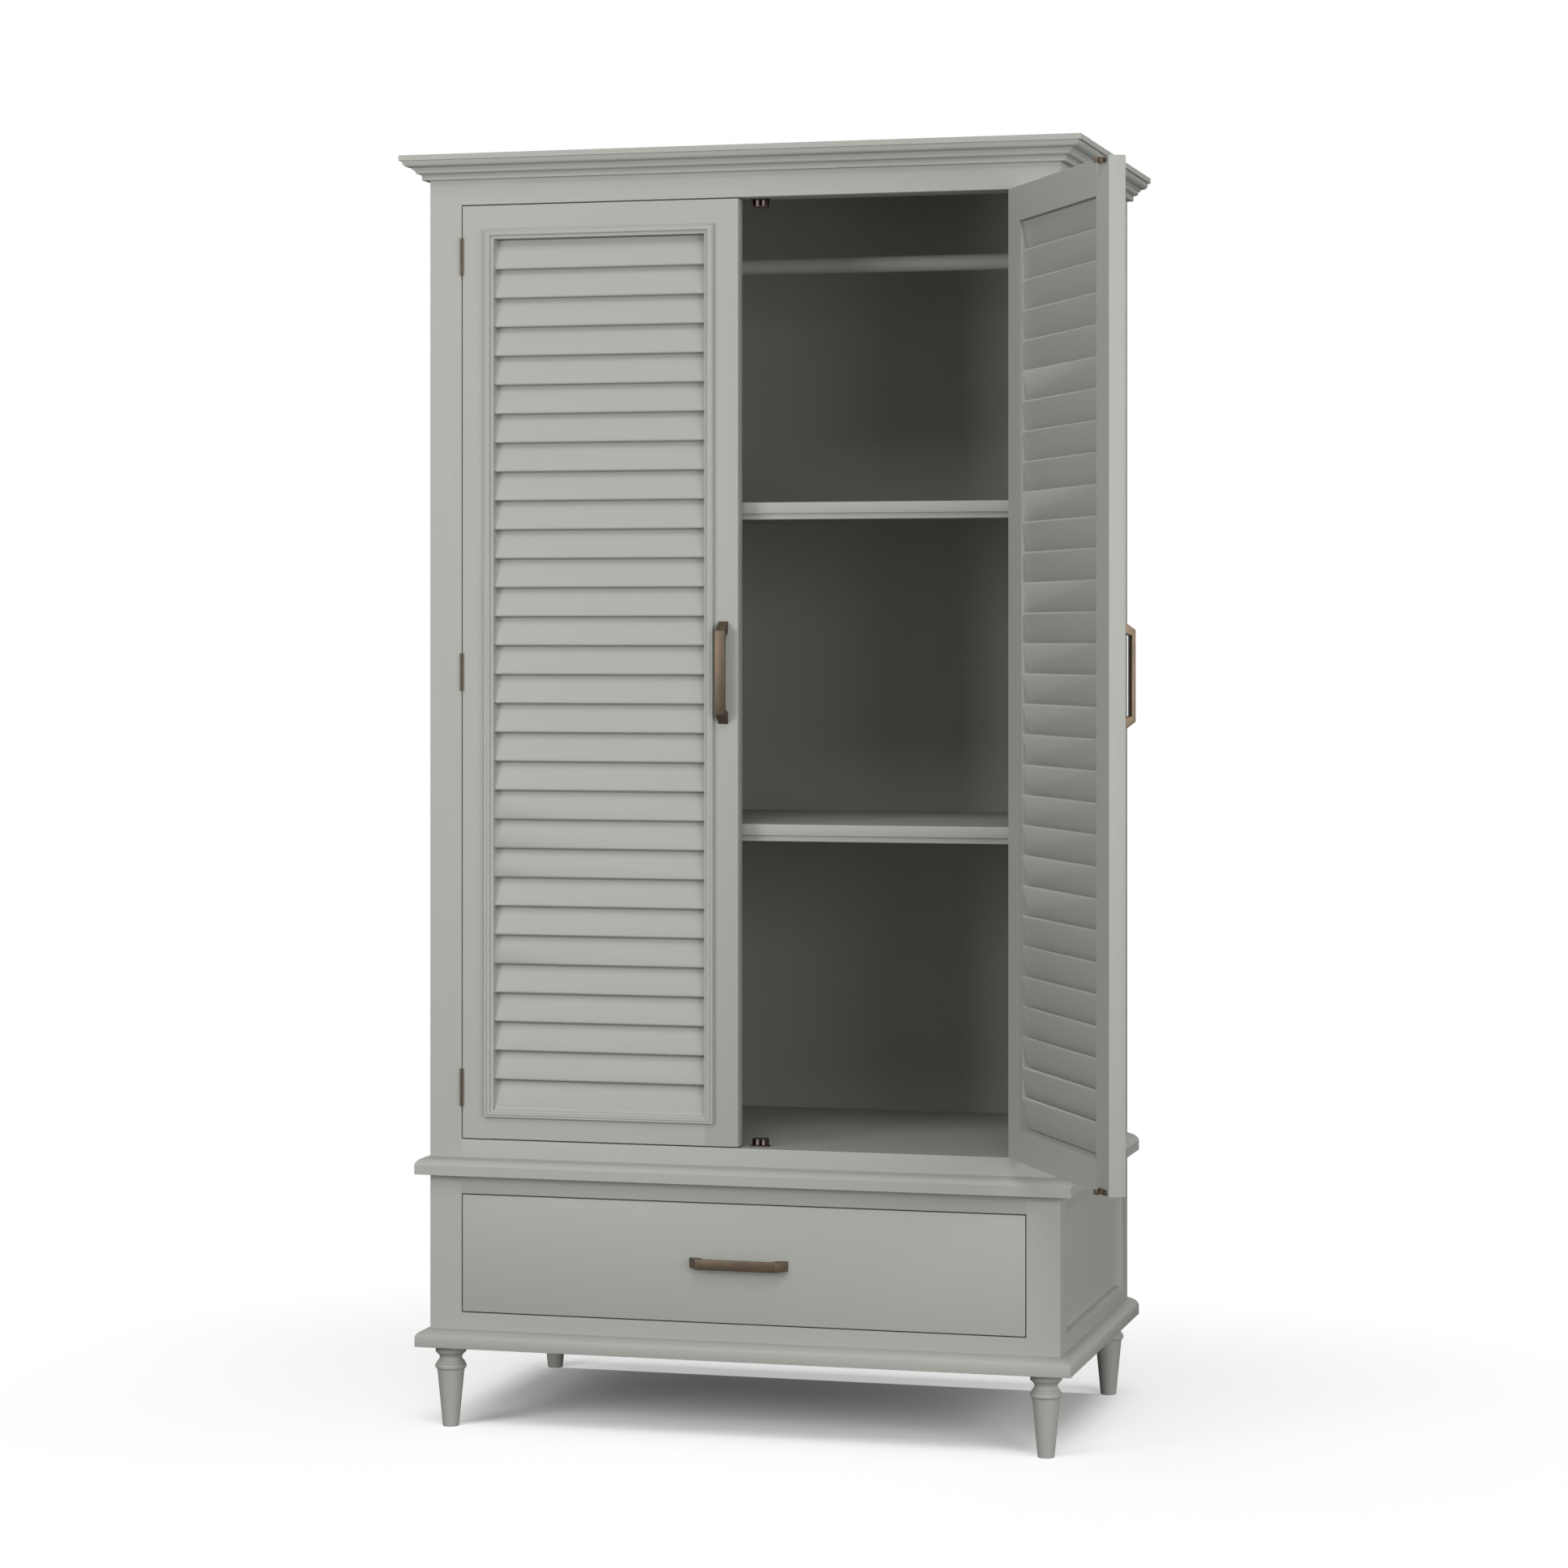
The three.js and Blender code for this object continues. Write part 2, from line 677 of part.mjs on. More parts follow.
// A roller catch that stands on a level: a plate, and two upright rollers in a cage on it.
function rollerCatch(x, level) {
  const front = frameThickness + catchSetback;
  const back = front + catchPlateDepth;
  const bottom = level + seam;
  const plateTop = bottom + catchPlateThickness;
  const cageTop = bottom + catchCageHeight;
  const plateEnds = [x - catchPlateWidth / 2, x + catchPlateWidth / 2];
  const cageEnds = [x - catchCageWidth / 2, x + catchCageWidth / 2];
  const plate = block(plateEnds, [front, back], [bottom, plateTop]);
  const cage = block(cageEnds, [front, back], [bottom, cageTop]);
  const hollow = block(
    [cageEnds[0] + catchPlateThickness, cageEnds[1] - catchPlateThickness],
    [front - overrun, back + overrun],
    [plateTop, cageTop - catchPlateThickness],
  );
  const rollers = [-rollerSpacing / 2, rollerSpacing / 2].map((offset) =>
    upright(rollerRadius, plateTop - catchPlateThickness / 2, cageTop - catchPlateThickness / 2, rollerSides)
      .translate(x + offset, (front + back) / 2, 0),
  );
  return joinedTo(cutFrom(joinedTo(plate, [cage]), [hollow]), rollers);
}

// A strike on the back of a door: a strip with a tongue that runs between the rollers.
function strike() {
  const x = doorFreeEdge - catchInset;
  const back = doorBack + seam;
  const middle = doorBottom + strikeInset;
  const levels = [middle - strikeHeight / 2, middle + strikeHeight / 2];
  const strip = block([x - strikeWidth / 2, x + strikeWidth / 2], [back, back + strikeThickness], levels);
  const tongue = block(
    [x - strikeTongueThickness / 2, x + strikeTongueThickness / 2],
    [back + strikeThickness / 2, back + strikeTongueReach],
    levels,
  );
  return joinedTo(strip, [tongue]);
}

function place(group, name, geometry, finish) {
  const mesh = new THREE.Mesh(geometry, finish.clone());
  mesh.name = name;
  group.add(mesh);
  return mesh;
}

function addFaceFrame(cabinet) {
  const depth = [0, frameThickness];
  const opening = [-openingHalf, openingHalf];
  place(cabinet, "face_frame_left_stile", board([-halfWidth, -openingHalf], depth, [baseTop, ceiling]), paint);
  place(cabinet, "face_frame_right_stile", board([openingHalf, halfWidth], depth, [baseTop, ceiling]), paint);
  place(cabinet, "face_frame_bottom_rail", board(opening, depth, [baseTop, drawerOpeningBottom]), paint);
  place(cabinet, "face_frame_middle_rail", board(opening, depth, [drawerOpeningTop, doorOpeningBottom]), paint);
  place(cabinet, "face_frame_top_rail", board(opening, [0, topRailDepth], [doorOpeningTop, ceiling]), paint);
}

function addCarcass(cabinet) {
  const housed = [-housedHalf, housedHalf];
  const ease = seam / 2;
  place(cabinet, "left_side", leftSide(), paint);
  place(cabinet, "right_side", mirrored(leftSide()), paint);
  place(cabinet, "base_board", baseBoard(), paint);
  place(cabinet, "top_board", board([-halfWidth, halfWidth], [0, carcassDepth], [ceiling, cabinetTop]), paint);
  const backDepths = [backFace + ease, backFace + backThickness - ease];
  place(cabinet, "back_panel", block(housed, backDepths, [baseTop + seam, ceiling - seam]), paint);
  const floorLevels = [doorOpeningBottom - floorThickness, doorOpeningBottom];
  place(cabinet, "cupboard_floor", block(housed, [frameThickness + ease, backFace - ease], floorLevels), paint);
  const [lower, upper] = shelfTops();
  place(cabinet, "lower_shelf", shelf(lower), paint);
  place(cabinet, "upper_shelf", shelf(upper), paint);
  place(cabinet, "hanging_rod", hangingRod(), paint);
}

function addMouldings(cabinet) {
  const waist = thumbMoulding(waistMouldingProjection, waistMouldingHeight);
  place(cabinet, "waist_moulding", mouldingRoundCarcass(waist, waistBottom), paint);
  place(cabinet, "cornice", mouldingRoundCarcass(corniceOutline(), corniceBottom), paint);
}

function addLegs(cabinet) {
  const right = halfWidth - legInsetX;
  const back = carcassDepth - legInsetBack;
  const spots = {
    front_left_leg: [-right, legInsetFront],
    front_right_leg: [right, legInsetFront],
    back_left_leg: [-right, back],
    back_right_leg: [right, back],
  };
  for (const [name, [x, y]] of Object.entries(spots)) {
    place(cabinet, name, leg(), paint).position.set(x, y, 0);
  }
}

function addRunners(cabinet) {
  place(cabinet, "left_drawer_runner", leftRunner(), bareWood);
  place(cabinet, "right_drawer_runner", mirrored(leftRunner()), bareWood);
}

function addCatches(cabinet) {
  const x = revealGap / 2 + catchInset;
  const onFloor = rollerCatch(x, doorOpeningBottom);
  const underRail = flippedAt(doorOpeningTop, rollerCatch(x, doorOpeningTop));
  place(cabinet, "right_bottom_catch", onFloor, bronze);
  place(cabinet, "left_bottom_catch", mirrored(onFloor), bronze);
  place(cabinet, "right_top_catch", underRail, bronze);
  place(cabinet, "left_top_catch", mirrored(underRail), bronze);
}

// The hinge leaves on the face frame, at both sides of the cupboard's opening.
function addFrameHinges(cabinet) {
  const pinX = openingHalf - doorHingeEdge;
  const names = ["bottom", "middle", "top"];
  hingeLevels.forEach((level, index) => {
    const leaf = hingeLeaf(level, true).translate(pinX, -pivotProud, 0);
    place(cabinet, `right_${names[index]}_hinge_frame_leaf`, leaf, bronze);
    place(cabinet, `left_${names[index]}_hinge_frame_leaf`, mirrored(leaf), bronze);
  });
}

function addDrawer(drawer) {
  const front = [0, drawerFrontThickness];
  const length = [drawerFrontThickness, drawerBoxBack];
  const levels = [drawerBoxBottom, drawerBoxBottom + drawerBoxHeight];
  const inner = [-drawerBoxInner, drawerBoxInner];
  const frontHalf = openingHalf - revealGap;
  const frontLevels = [drawerOpeningBottom + revealGap, drawerOpeningTop - revealGap];
  const backDepths = [drawerBoxBack - drawerBackThickness, drawerBoxBack];
  const bottomLevel = drawerBoxBottom + drawerBottomRaise;
  const bottomLevels = [bottomLevel, bottomLevel + drawerBottomThickness];
  const bottomDepths = [drawerFrontThickness, drawerBoxBack - drawerBackThickness];
  place(drawer, "drawer_front", board([-frontHalf, frontHalf], front, frontLevels), paint);
  place(drawer, "drawer_left_side", board([-drawerBoxHalf, -drawerBoxInner], length, levels), bareWood);
  place(drawer, "drawer_right_side", board([drawerBoxInner, drawerBoxHalf], length, levels), bareWood);
  place(drawer, "drawer_back", board(inner, backDepths, levels), bareWood);
  place(drawer, "drawer_bottom", board(inner, bottomDepths, bottomLevels), bareWood);
  const pullMesh = place(drawer, "drawer_pull", pullAcross(), bronze);
  pullMesh.position.set(0, -seam, (drawerOpeningBottom + drawerOpeningTop) / 2);
}

// A door in its own frame: the pin is the Z axis, and the door runs to +X with its face to -Y.
function doorPieces() {
  const handle = pullUpright();
  handle.translate(doorFreeEdge - doorPullInset, doorFace - seam, (doorBottom + doorTop) / 2);
  const bottomStrike = strike();
  return {
    louvred_hinge_stile: [louvredHingeStile(), paint],
    lock_stile: [housedLockStile(), paint],
    top_rail: [doorRail(louvreTop, doorTop), paint],
    bottom_rail: [doorRail(doorBottom, bottomRailTop), paint],
    moulding: [doorMoulding(), paint],
    pull: [handle, bronze],
    bottom_hinge_leaf: [hingeLeaf(hingeLevels[0], false), bronze],
    middle_hinge_leaf: [hingeLeaf(hingeLevels[1], false), bronze],
    top_hinge_leaf: [hingeLeaf(hingeLevels[2], false), bronze],
    bottom_strike: [bottomStrike, bronze],
    top_strike: [flippedAt((doorBottom + doorTop) / 2, bottomStrike), bronze],
  };
}

function addDoor(door, side, turnToHand) {
  for (const [name, [geometry, finish]] of Object.entries(doorPieces())) {
    place(door, `${side}_door_${name}`, turnToHand(geometry), finish);
  }
}

function makeCabinet() {
  const cabinet = new THREE.Group();
  addFaceFrame(cabinet);
  addCarcass(cabinet);
  addMouldings(cabinet);
  addLegs(cabinet);
  addRunners(cabinet);
  addCatches(cabinet);
  addFrameHinges(cabinet);

  const drawer = new THREE.Group();
  addDrawer(drawer);
  cabinet.add(drawer);

  const leftDoor = new THREE.Group();
  leftDoor.position.set(doorHingeEdge - openingHalf, -pivotProud, 0);
  addDoor(leftDoor, "left", (geometry) => geometry);
  cabinet.add(leftDoor);

  const rightDoor = new THREE.Group();
  rightDoor.position.set(openingHalf - doorHingeEdge, -pivotProud, 0);
  rightDoor.rotation.z = THREE.MathUtils.degToRad(rightDoorOpenDegrees);
  addDoor(rightDoor, "right", mirrored);
  cabinet.add(rightDoor);
  return cabinet;
}

// The origin is on the floor, in the middle of the space that the whole cabinet takes.
function centredOnFloor(cabinet) {
  cabinet.updateMatrixWorld(true);
  const space = new THREE.Box3().setFromObject(cabinet, true);
  const middle = space.getCenter(new THREE.Vector3());
  cabinet.position.set(-middle.x, -middle.y, -space.min.z);
  return new THREE.Group().add(cabinet);
}

export default centredOnFloor(makeCabinet());
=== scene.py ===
"""The looks of a painted wardrobe with louvred doors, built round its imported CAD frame.

Lengths are in metres unless a name ends in MM or a comment says millimetres. The frame is +Z
up with the front facing -Y.
Boards are copies of their CAD nodes with eased edges, so they keep the CAD sizes. Legs,
roller catches and strikes are modelled here in full, in the space that their nodes hold.
"""

import json
import math

import bmesh
import bpy
from mathutils import Matrix, Vector


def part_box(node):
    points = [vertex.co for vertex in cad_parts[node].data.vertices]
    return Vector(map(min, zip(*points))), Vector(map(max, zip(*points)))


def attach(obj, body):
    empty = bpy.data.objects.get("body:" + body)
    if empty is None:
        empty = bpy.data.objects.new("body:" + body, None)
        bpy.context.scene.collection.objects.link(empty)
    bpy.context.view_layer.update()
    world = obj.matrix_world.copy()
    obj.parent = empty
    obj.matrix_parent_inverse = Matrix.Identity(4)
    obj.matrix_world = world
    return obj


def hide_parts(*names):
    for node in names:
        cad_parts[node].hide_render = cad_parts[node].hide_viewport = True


MM = 0.001
TINY = 1e-6

# Camera, as the photograph was taken: level, turned from square on, with a lens shift
CAMERA_PLACE = (1.7203, -6.5409, 1.3445)
CAMERA_LEVEL_DEG = 90
CAMERA_TURN_DEG = 14.923
LENS_MM = 91.98
SENSOR_MM = 36.0
LENS_SHIFT = -0.09255

# Light: an even room light and soft square lamps, each with its place, its width and its watts
ROOM_LIGHT = 0.1
BACKGROUND_LIGHT = 1.0
LAMP_TARGET = (0, 0, 1.1)
LAMPS = {
    "lamp_left_near": ((-2.4, -3.4, 1.8), 1.8, 66),
    "lamp_front_high": ((0.6, -5.0, 7.0), 3.5, 165),
    "lamp_front_right_far": ((4.2, -6.5, 1.8), 3.5, 30),
    "lamp_front_right_near": ((4.6, -4.6, 1.8), 3.0, 150),
    "lamp_right": ((5.5, -1.5, 1.8), 3.5, 60),
}

# Floor: it keeps the cabinet's shadow, and round it white is painted in until it is white like
# the background, so the shadow's outer edge is partly painted. The fade is a share of white at
# each distance from a rectangle a little inside the cabinet's sides. Behind a line near the
# cabinet's back the share is never less than a set share: painted light that lightens the
# shadow there and cuts it off along the line
FLOOR_HALF = 60.0
FLOOR_SEEN = (1.6, 1.6, 1.6, 1)
FLOOR_BOUNCE = (0.35, 0.35, 0.35, 1)
SHADOW_MIDDLE = (-0.089, 0.246, 0)
SHADOW_HALF = (0.484, 0.25, 1)
FLOOR_FADE = [
    (0, 0),
    (0.015, 0.06),
    (0.045, 0.3),
    (0.075, 0.54),
    (0.11, 0.67),
    (0.155, 0.71),
    (0.22, 0.73),
    (0.33, 0.76),
    (0.5, 0.82),
    (0.75, 0.92),
    (1, 1),
]
# Painted light: the line behind which white is mixed into the floor, and its least share
SHADOW_CUT_LINE = (0.494, 0.498)
SHADOW_CUT_WHITE_SHARE = 0.42
WHITE = (1, 1, 1, 1)

# Colours, with shares of them for deeper, streaked and worn places. The paint's lighter
# edges are partly rubbed wear and partly a painted highlight
PAINT = (0.420, 0.427, 0.392)
PAINT_DEEP_SHARE = 0.955
# Lighter paint for the mottle, and for edges as wear and a painted highlight
PAINT_WEAR_AND_HIGHLIGHT_SHARE = 1.09
DRAWER_WOOD = (0.52, 0.46, 0.36)
DRAWER_WOOD_DARK = (0.40, 0.335, 0.25)
BRONZE = (0.140, 0.105, 0.073)
BRONZE_DARK = (0.075, 0.054, 0.038)
BRONZE_STREAK_SHARE = 1.35
BRONZE_WORN_SHARE = 1.7
UPRIGHT_BRONZE_SHARE = 0.88
CATCH_BRONZE_SHARE = 0.35
ROLLER_PINK = (0.36, 0.27, 0.25)
ROLLER_DEEP_SHARE = 0.8

# Noise textures: scale and detail, and for some their roughness and distortion
PAINT_CLOUDS = (3.1, 3)
PAINT_MOTTLE = (160, 2)
PAINT_STROKES = (90, 4, 0.62)
PAINT_GRAIN = (420, 3, 0.6)
WOOD_FIGURE = (22, 5, 0.6, 0.6)
WOOD_PORES = (300, 2, 0.7)
BRONZE_STREAKS = (1400, 3, 0.65)
BRONZE_PATCHES = (60, 3)
ROLLER_RINGS = (900, 2)
NOISE_MIDDLE = (0.3, 0.7)

# How much of the second colour each texture mixes in, at its lowest and its highest
CLOUD_SHARES = (0.3, 0.7)
STROKE_SHARES = (0, 0.2)
MOTTLE_SHARES = (0, 0.15)
FIGURE_SHARES = (0, 1)
PORE_SHARES = (0, 0.35)
PATCH_SHARES = (0.55, 1)
STREAK_SHARES = (0, 0.35)
ROLLER_RING_SHARES = (0, 1)

# Gloss
PAINT_ROUGHNESS = (0.5, 0.6)
WOOD_ROUGHNESS = (0.5, 0.62)
BRONZE_ROUGHNESS = (0.38, 0.52)
ROLLER_ROUGHNESS = (0.4, 0.5)
SATIN_SPECULAR = 0.4
BRONZE_METALLIC = 0.85

# Bump: depth and strength
PAINT_GRAIN_BUMP = (0.05 * MM, 0.3)
PAINT_STROKE_BUMP = (0.08 * MM, 0.3)
WOOD_PORE_BUMP = (0.15 * MM, 0.4)
BRONZE_STREAK_BUMP = (0.05 * MM, 0.4)
ROLLER_RING_BUMP = (0.03 * MM, 0.3)

# Wear on edges, and on the paint also a painted highlight there: its reach from an edge, and
# the cosines between which a rounded edge counts as worn and highlighted
PAINT_WEAR_AND_HIGHLIGHT_REACH = 1.2 * MM
BRONZE_WEAR_REACH = 0.7 * MM
WEAR_AND_HIGHLIGHT_COSINES = (0.995, 0.9)
WEAR_AND_HIGHLIGHT_SAMPLES = 4

# Edges
BOARD_EDGE_MM = 0.6
SLAT_EDGE_MM = 0.5
METAL_EDGE_MM = 0.35
EDGE_STEPS = 2
ROUND_PROFILE = 0.5
WELD_REACH = 2e-6
JOINT_REACH = 1e-5
SHARP_DEG = 32
FLAT_DEG = 0.5

RIGHT_DOOR_OPEN_DEG = 120
HINGE_STILE_WIDTH_MM = 56
STILE_MARGIN_MM = 2

# Moulding round the louvres, and how far its bottom run's two edges are moved towards each other
MOULDING_WIDTH_MM = 16
RUN_LIFT_MM = 1.0
RUN_DROP_MM = 2.8

# Strip at the lowest slat's foot: its section behind the bottom rail's face and above its top
FOOT_FILLET_MM = [(0.1, 0.02), (1.95, 4.1), (2.0, 4.1), (2.0, 0.02)]
FILLET_END_GAP_MM = 1

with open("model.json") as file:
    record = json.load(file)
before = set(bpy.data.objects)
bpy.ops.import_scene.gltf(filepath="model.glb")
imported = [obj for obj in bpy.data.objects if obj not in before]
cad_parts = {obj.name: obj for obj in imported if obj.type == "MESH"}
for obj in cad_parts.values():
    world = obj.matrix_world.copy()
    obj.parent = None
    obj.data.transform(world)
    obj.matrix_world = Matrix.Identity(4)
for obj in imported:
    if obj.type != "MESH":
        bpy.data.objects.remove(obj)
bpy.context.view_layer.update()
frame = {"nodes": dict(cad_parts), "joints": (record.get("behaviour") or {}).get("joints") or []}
NODES = frame["nodes"]
PIN = {
    joint["child"]: Vector(joint["pos_m"])
    for joint in frame["joints"]
    if joint["type"] == "hinge"
}


# Materials


class Nodes:
    """A small helper that adds nodes to one node tree and links them."""

    def __init__(self, name):
        self.material = bpy.data.materials.new(name)
        self.material.use_nodes = True
        self.tree = self.material.node_tree
        self.tree.nodes.clear()

    @classmethod
    def of_tree(cls, tree):
        """A helper for a tree that exists, emptied first."""
        helper = cls.__new__(cls)
        helper.tree = tree
        tree.nodes.clear()
        return helper

    def add(self, kind, **settings):
        node = self.tree.nodes.new(kind)
        for key, value in settings.items():
            setattr(node, key, value)
        return node

    def link(self, source, target):
        self.tree.links.new(source, target)

    def larger(self, first, second):
        """The larger of two sockets' values."""
        node = self.add("ShaderNodeMath", operation="MAXIMUM")
        self.link(first, node.inputs[0])
        self.link(second, node.inputs[1])
        return node.outputs["Value"]

    def vector_math(self, operation, vector, other=None):
        """One step on a vector socket, with a fixed vector where the step takes two."""
        node = self.add("ShaderNodeVectorMath", operation=operation)
        self.link(vector, node.inputs[0])
        if other is not None:
            node.inputs[1].default_value = other
        return node.outputs["Value" if operation == "LENGTH" else "Vector"]

    def coordinates(self, turn_deg, stretch):
        """Object coordinates turned about Z and stretched along each axis."""
        place = self.add("ShaderNodeTexCoord")
        turned = self.add("ShaderNodeMapping", vector_type="TEXTURE")
        turned.inputs["Rotation"].default_value = (0, 0, math.radians(turn_deg))
        self.link(place.outputs["Object"], turned.inputs["Vector"])
        stretched = self.add("ShaderNodeMapping")
        stretched.inputs["Scale"].default_value = stretch
        self.link(turned.outputs["Vector"], stretched.inputs["Vector"])
        return stretched.outputs["Vector"]

    def noise(self, vector, scale, detail, roughness=0.5, distortion=0.0):
        node = self.add("ShaderNodeTexNoise")
        node.inputs["Scale"].default_value = scale
        node.inputs["Detail"].default_value = detail
        node.inputs["Roughness"].default_value = roughness
        node.inputs["Distortion"].default_value = distortion
        self.link(vector, node.inputs["Vector"])
        return node.outputs["Fac"]

    def map_range(self, value, source, target=(0, 1)):
        """The source range mapped to the target range, and held at its ends."""
        node = self.add("ShaderNodeMapRange")
        for name, limit in zip(("From Min", "From Max", "To Min", "To Max"), (*source, *target)):
            node.inputs[name].default_value = limit
        self.link(value, node.inputs["Value"])
        return node.outputs["Result"]

    def spread(self, value, target):
        """A noise's middle range mapped to the target range."""
        return self.map_range(value, NOISE_MIDDLE, target)

    def blend(self, factor, first, second):
        """A mix of two colours, each a colour or a socket."""
        node = self.add("ShaderNodeMix", data_type="RGBA")
        self.link(factor, node.inputs["Factor"])
        for socket, colour in ((node.inputs["A"], first), (node.inputs["B"], second)):
            if isinstance(colour, bpy.types.NodeSocket):
                self.link(colour, socket)
            else:
                socket.default_value = (*colour, 1)
        return node.outputs["Result"]

    def mix_shader(self, factor, first, second):
        node = self.add("ShaderNodeMixShader")
        self.link(factor, node.inputs["Fac"])
        self.link(first, node.inputs[1])
        self.link(second, node.inputs[2])
        return node.outputs["Shader"]

    def bump(self, height, depth, strength, normal=None):
        node = self.add("ShaderNodeBump")
        node.inputs["Strength"].default_value = strength
        node.inputs["Distance"].default_value = depth
        self.link(height, node.inputs["Height"])
        if normal:
            self.link(normal, node.inputs["Normal"])
        return node.outputs["Normal"]

    def edge_mask(self, reach):
        """1 on worn edges, which on the paint also get a painted highlight, and 0 on flat faces."""
        soft = self.add("ShaderNodeBevel", samples=WEAR_AND_HIGHLIGHT_SAMPLES)
        soft.inputs["Radius"].default_value = reach
        flat = self.add("ShaderNodeNewGeometry")
        dot = self.add("ShaderNodeVectorMath", operation="DOT_PRODUCT")
        self.link(soft.outputs["Normal"], dot.inputs[0])
        self.link(flat.outputs["Normal"], dot.inputs[1])
        return self.map_range(dot.outputs["Value"], WEAR_AND_HIGHLIGHT_COSINES)

    def surface(self, colour, roughness, normal, **sockets):
        """Ends the material in a principled shader. A socket's name has _ for each space."""
        shader = self.add("ShaderNodeBsdfPrincipled")
        self.link(colour, shader.inputs["Base Color"])
        self.link(roughness, shader.inputs["Roughness"])
        self.link(normal, shader.inputs["Normal"])
        for name, value in sockets.items():
            shader.inputs[name.replace("_", " ")].default_value = value
        output = self.add("ShaderNodeOutputMaterial")
        self.link(shader.outputs["BSDF"], output.inputs["Surface"])
        return self.material


def scaled(colour, share):
    """A colour made darker or lighter."""
    return tuple(channel * share for channel in colour)


# Stretch of a texture's coordinates on each axis. Its grain runs where they are stretched least
EVEN = (1, 1, 1)
ALONG_X = (0.06, 1, 1)
ALONG_Y = (1, 0.06, 1)
ALONG_Z = (1, 1, 0.06)
ROUND_Z = (0.2, 0.2, 1)


def paint_material(name, turn_deg, stretch):
    """Satin paint over close-grained wood: soft brush lines along it, and eased edges that are
    lighter, partly as rubbed wear and partly as a painted highlight.
    """
    deep = scaled(PAINT, PAINT_DEEP_SHARE)
    # Lighter paint: at random in the mottle, and on edges as wear and a painted highlight
    wear_and_highlight = scaled(PAINT, PAINT_WEAR_AND_HIGHLIGHT_SHARE)
    nodes = Nodes(name)
    along = nodes.coordinates(turn_deg, stretch)
    even = nodes.coordinates(0, EVEN)
    clouds = nodes.noise(even, *PAINT_CLOUDS)
    mottle = nodes.noise(even, *PAINT_MOTTLE)
    strokes = nodes.noise(along, *PAINT_STROKES)
    grain = nodes.noise(along, *PAINT_GRAIN)
    tone = nodes.blend(nodes.spread(clouds, CLOUD_SHARES), deep, PAINT)
    tone = nodes.blend(nodes.spread(strokes, STROKE_SHARES), tone, deep)
    tone = nodes.blend(nodes.spread(mottle, MOTTLE_SHARES), tone, wear_and_highlight)
    # Lighter edges: partly rubbed wear, partly a painted highlight
    tone = nodes.blend(nodes.edge_mask(PAINT_WEAR_AND_HIGHLIGHT_REACH), tone, wear_and_highlight)
    roughness = nodes.spread(strokes, PAINT_ROUGHNESS)
    normal = nodes.bump(grain, *PAINT_GRAIN_BUMP)
    normal = nodes.bump(strokes, *PAINT_STROKE_BUMP, normal)
    return nodes.surface(tone, roughness, normal, Specular_IOR_Level=SATIN_SPECULAR)


def wood_material(name, stretch):
    """Pale sealed wood with long straight grain."""
    nodes = Nodes(name)
    along = nodes.coordinates(0, stretch)
    figure = nodes.noise(along, *WOOD_FIGURE)
    pores = nodes.noise(along, *WOOD_PORES)
    tone = nodes.blend(nodes.spread(figure, FIGURE_SHARES), DRAWER_WOOD_DARK, DRAWER_WOOD)
    tone = nodes.blend(nodes.spread(pores, PORE_SHARES), tone, DRAWER_WOOD_DARK)
    roughness = nodes.spread(pores, WOOD_ROUGHNESS)
    normal = nodes.bump(pores, *WOOD_PORE_BUMP)
    return nodes.surface(tone, roughness, normal, Specular_IOR_Level=SATIN_SPECULAR)


def bronze_material(name, stretch, share=1):
    """Brushed bronze, darker in random patches and rubbed brighter on its edges."""
    bronze = scaled(BRONZE, share)
    nodes = Nodes(name)
    along = nodes.coordinates(0, stretch)
    even = nodes.coordinates(0, EVEN)
    streaks = nodes.noise(along, *BRONZE_STREAKS)
    patches = nodes.noise(even, *BRONZE_PATCHES)
    tone = nodes.blend(nodes.spread(patches, PATCH_SHARES), scaled(BRONZE_DARK, share), bronze)
    streak = scaled(bronze, BRONZE_STREAK_SHARE)
    tone = nodes.blend(nodes.spread(streaks, STREAK_SHARES), tone, streak)
    tone = nodes.blend(nodes.edge_mask(BRONZE_WEAR_REACH), tone, scaled(bronze, BRONZE_WORN_SHARE))
    roughness = nodes.spread(streaks, BRONZE_ROUGHNESS)
    normal = nodes.bump(streaks, *BRONZE_STREAK_BUMP)
    return nodes.surface(tone, roughness, normal, Metallic=BRONZE_METALLIC)


def roller_material(name):
    """Smooth pinkish nylon with faint wear rings."""
    nodes = Nodes(name)
    rings = nodes.noise(nodes.coordinates(0, ROUND_Z), *ROLLER_RINGS)
    deep = scaled(ROLLER_PINK, ROLLER_DEEP_SHARE)
    tone = nodes.blend(nodes.spread(rings, ROLLER_RING_SHARES), deep, ROLLER_PINK)
    roughness = nodes.spread(rings, ROLLER_ROUGHNESS)
    return nodes.surface(tone, roughness, nodes.bump(rings, *ROLLER_RING_BUMP))


PAINT_UPRIGHT = paint_material("paint_upright", 0, ALONG_Z)
PAINT_LEVEL = paint_material("paint_level", 0, ALONG_X)
PAINT_TURNED = paint_material("paint_turned", RIGHT_DOOR_OPEN_DEG, ALONG_X)
WOOD_ACROSS = wood_material("drawer_wood_across", ALONG_X)
WOOD_DEEP = wood_material("drawer_wood_deep", ALONG_Y)
BRONZE_UPRIGHT = bronze_material("bronze_upright", ALONG_Z, UPRIGHT_BRONZE_SHARE)
BRONZE_LEVEL = bronze_material("bronze_level", ALONG_X)
CATCH_BRONZE = bronze_material("bronze_catch", ALONG_Z, CATCH_BRONZE_SHARE)
ROLLER_NYLON = roller_material("roller_nylon")


# Piece helpers


def finish_piece(piece, body, node, materials):
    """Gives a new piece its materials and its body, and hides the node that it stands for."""
    for material in materials:
        piece.data.materials.append(material)
    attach(piece, body)
    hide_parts(node)


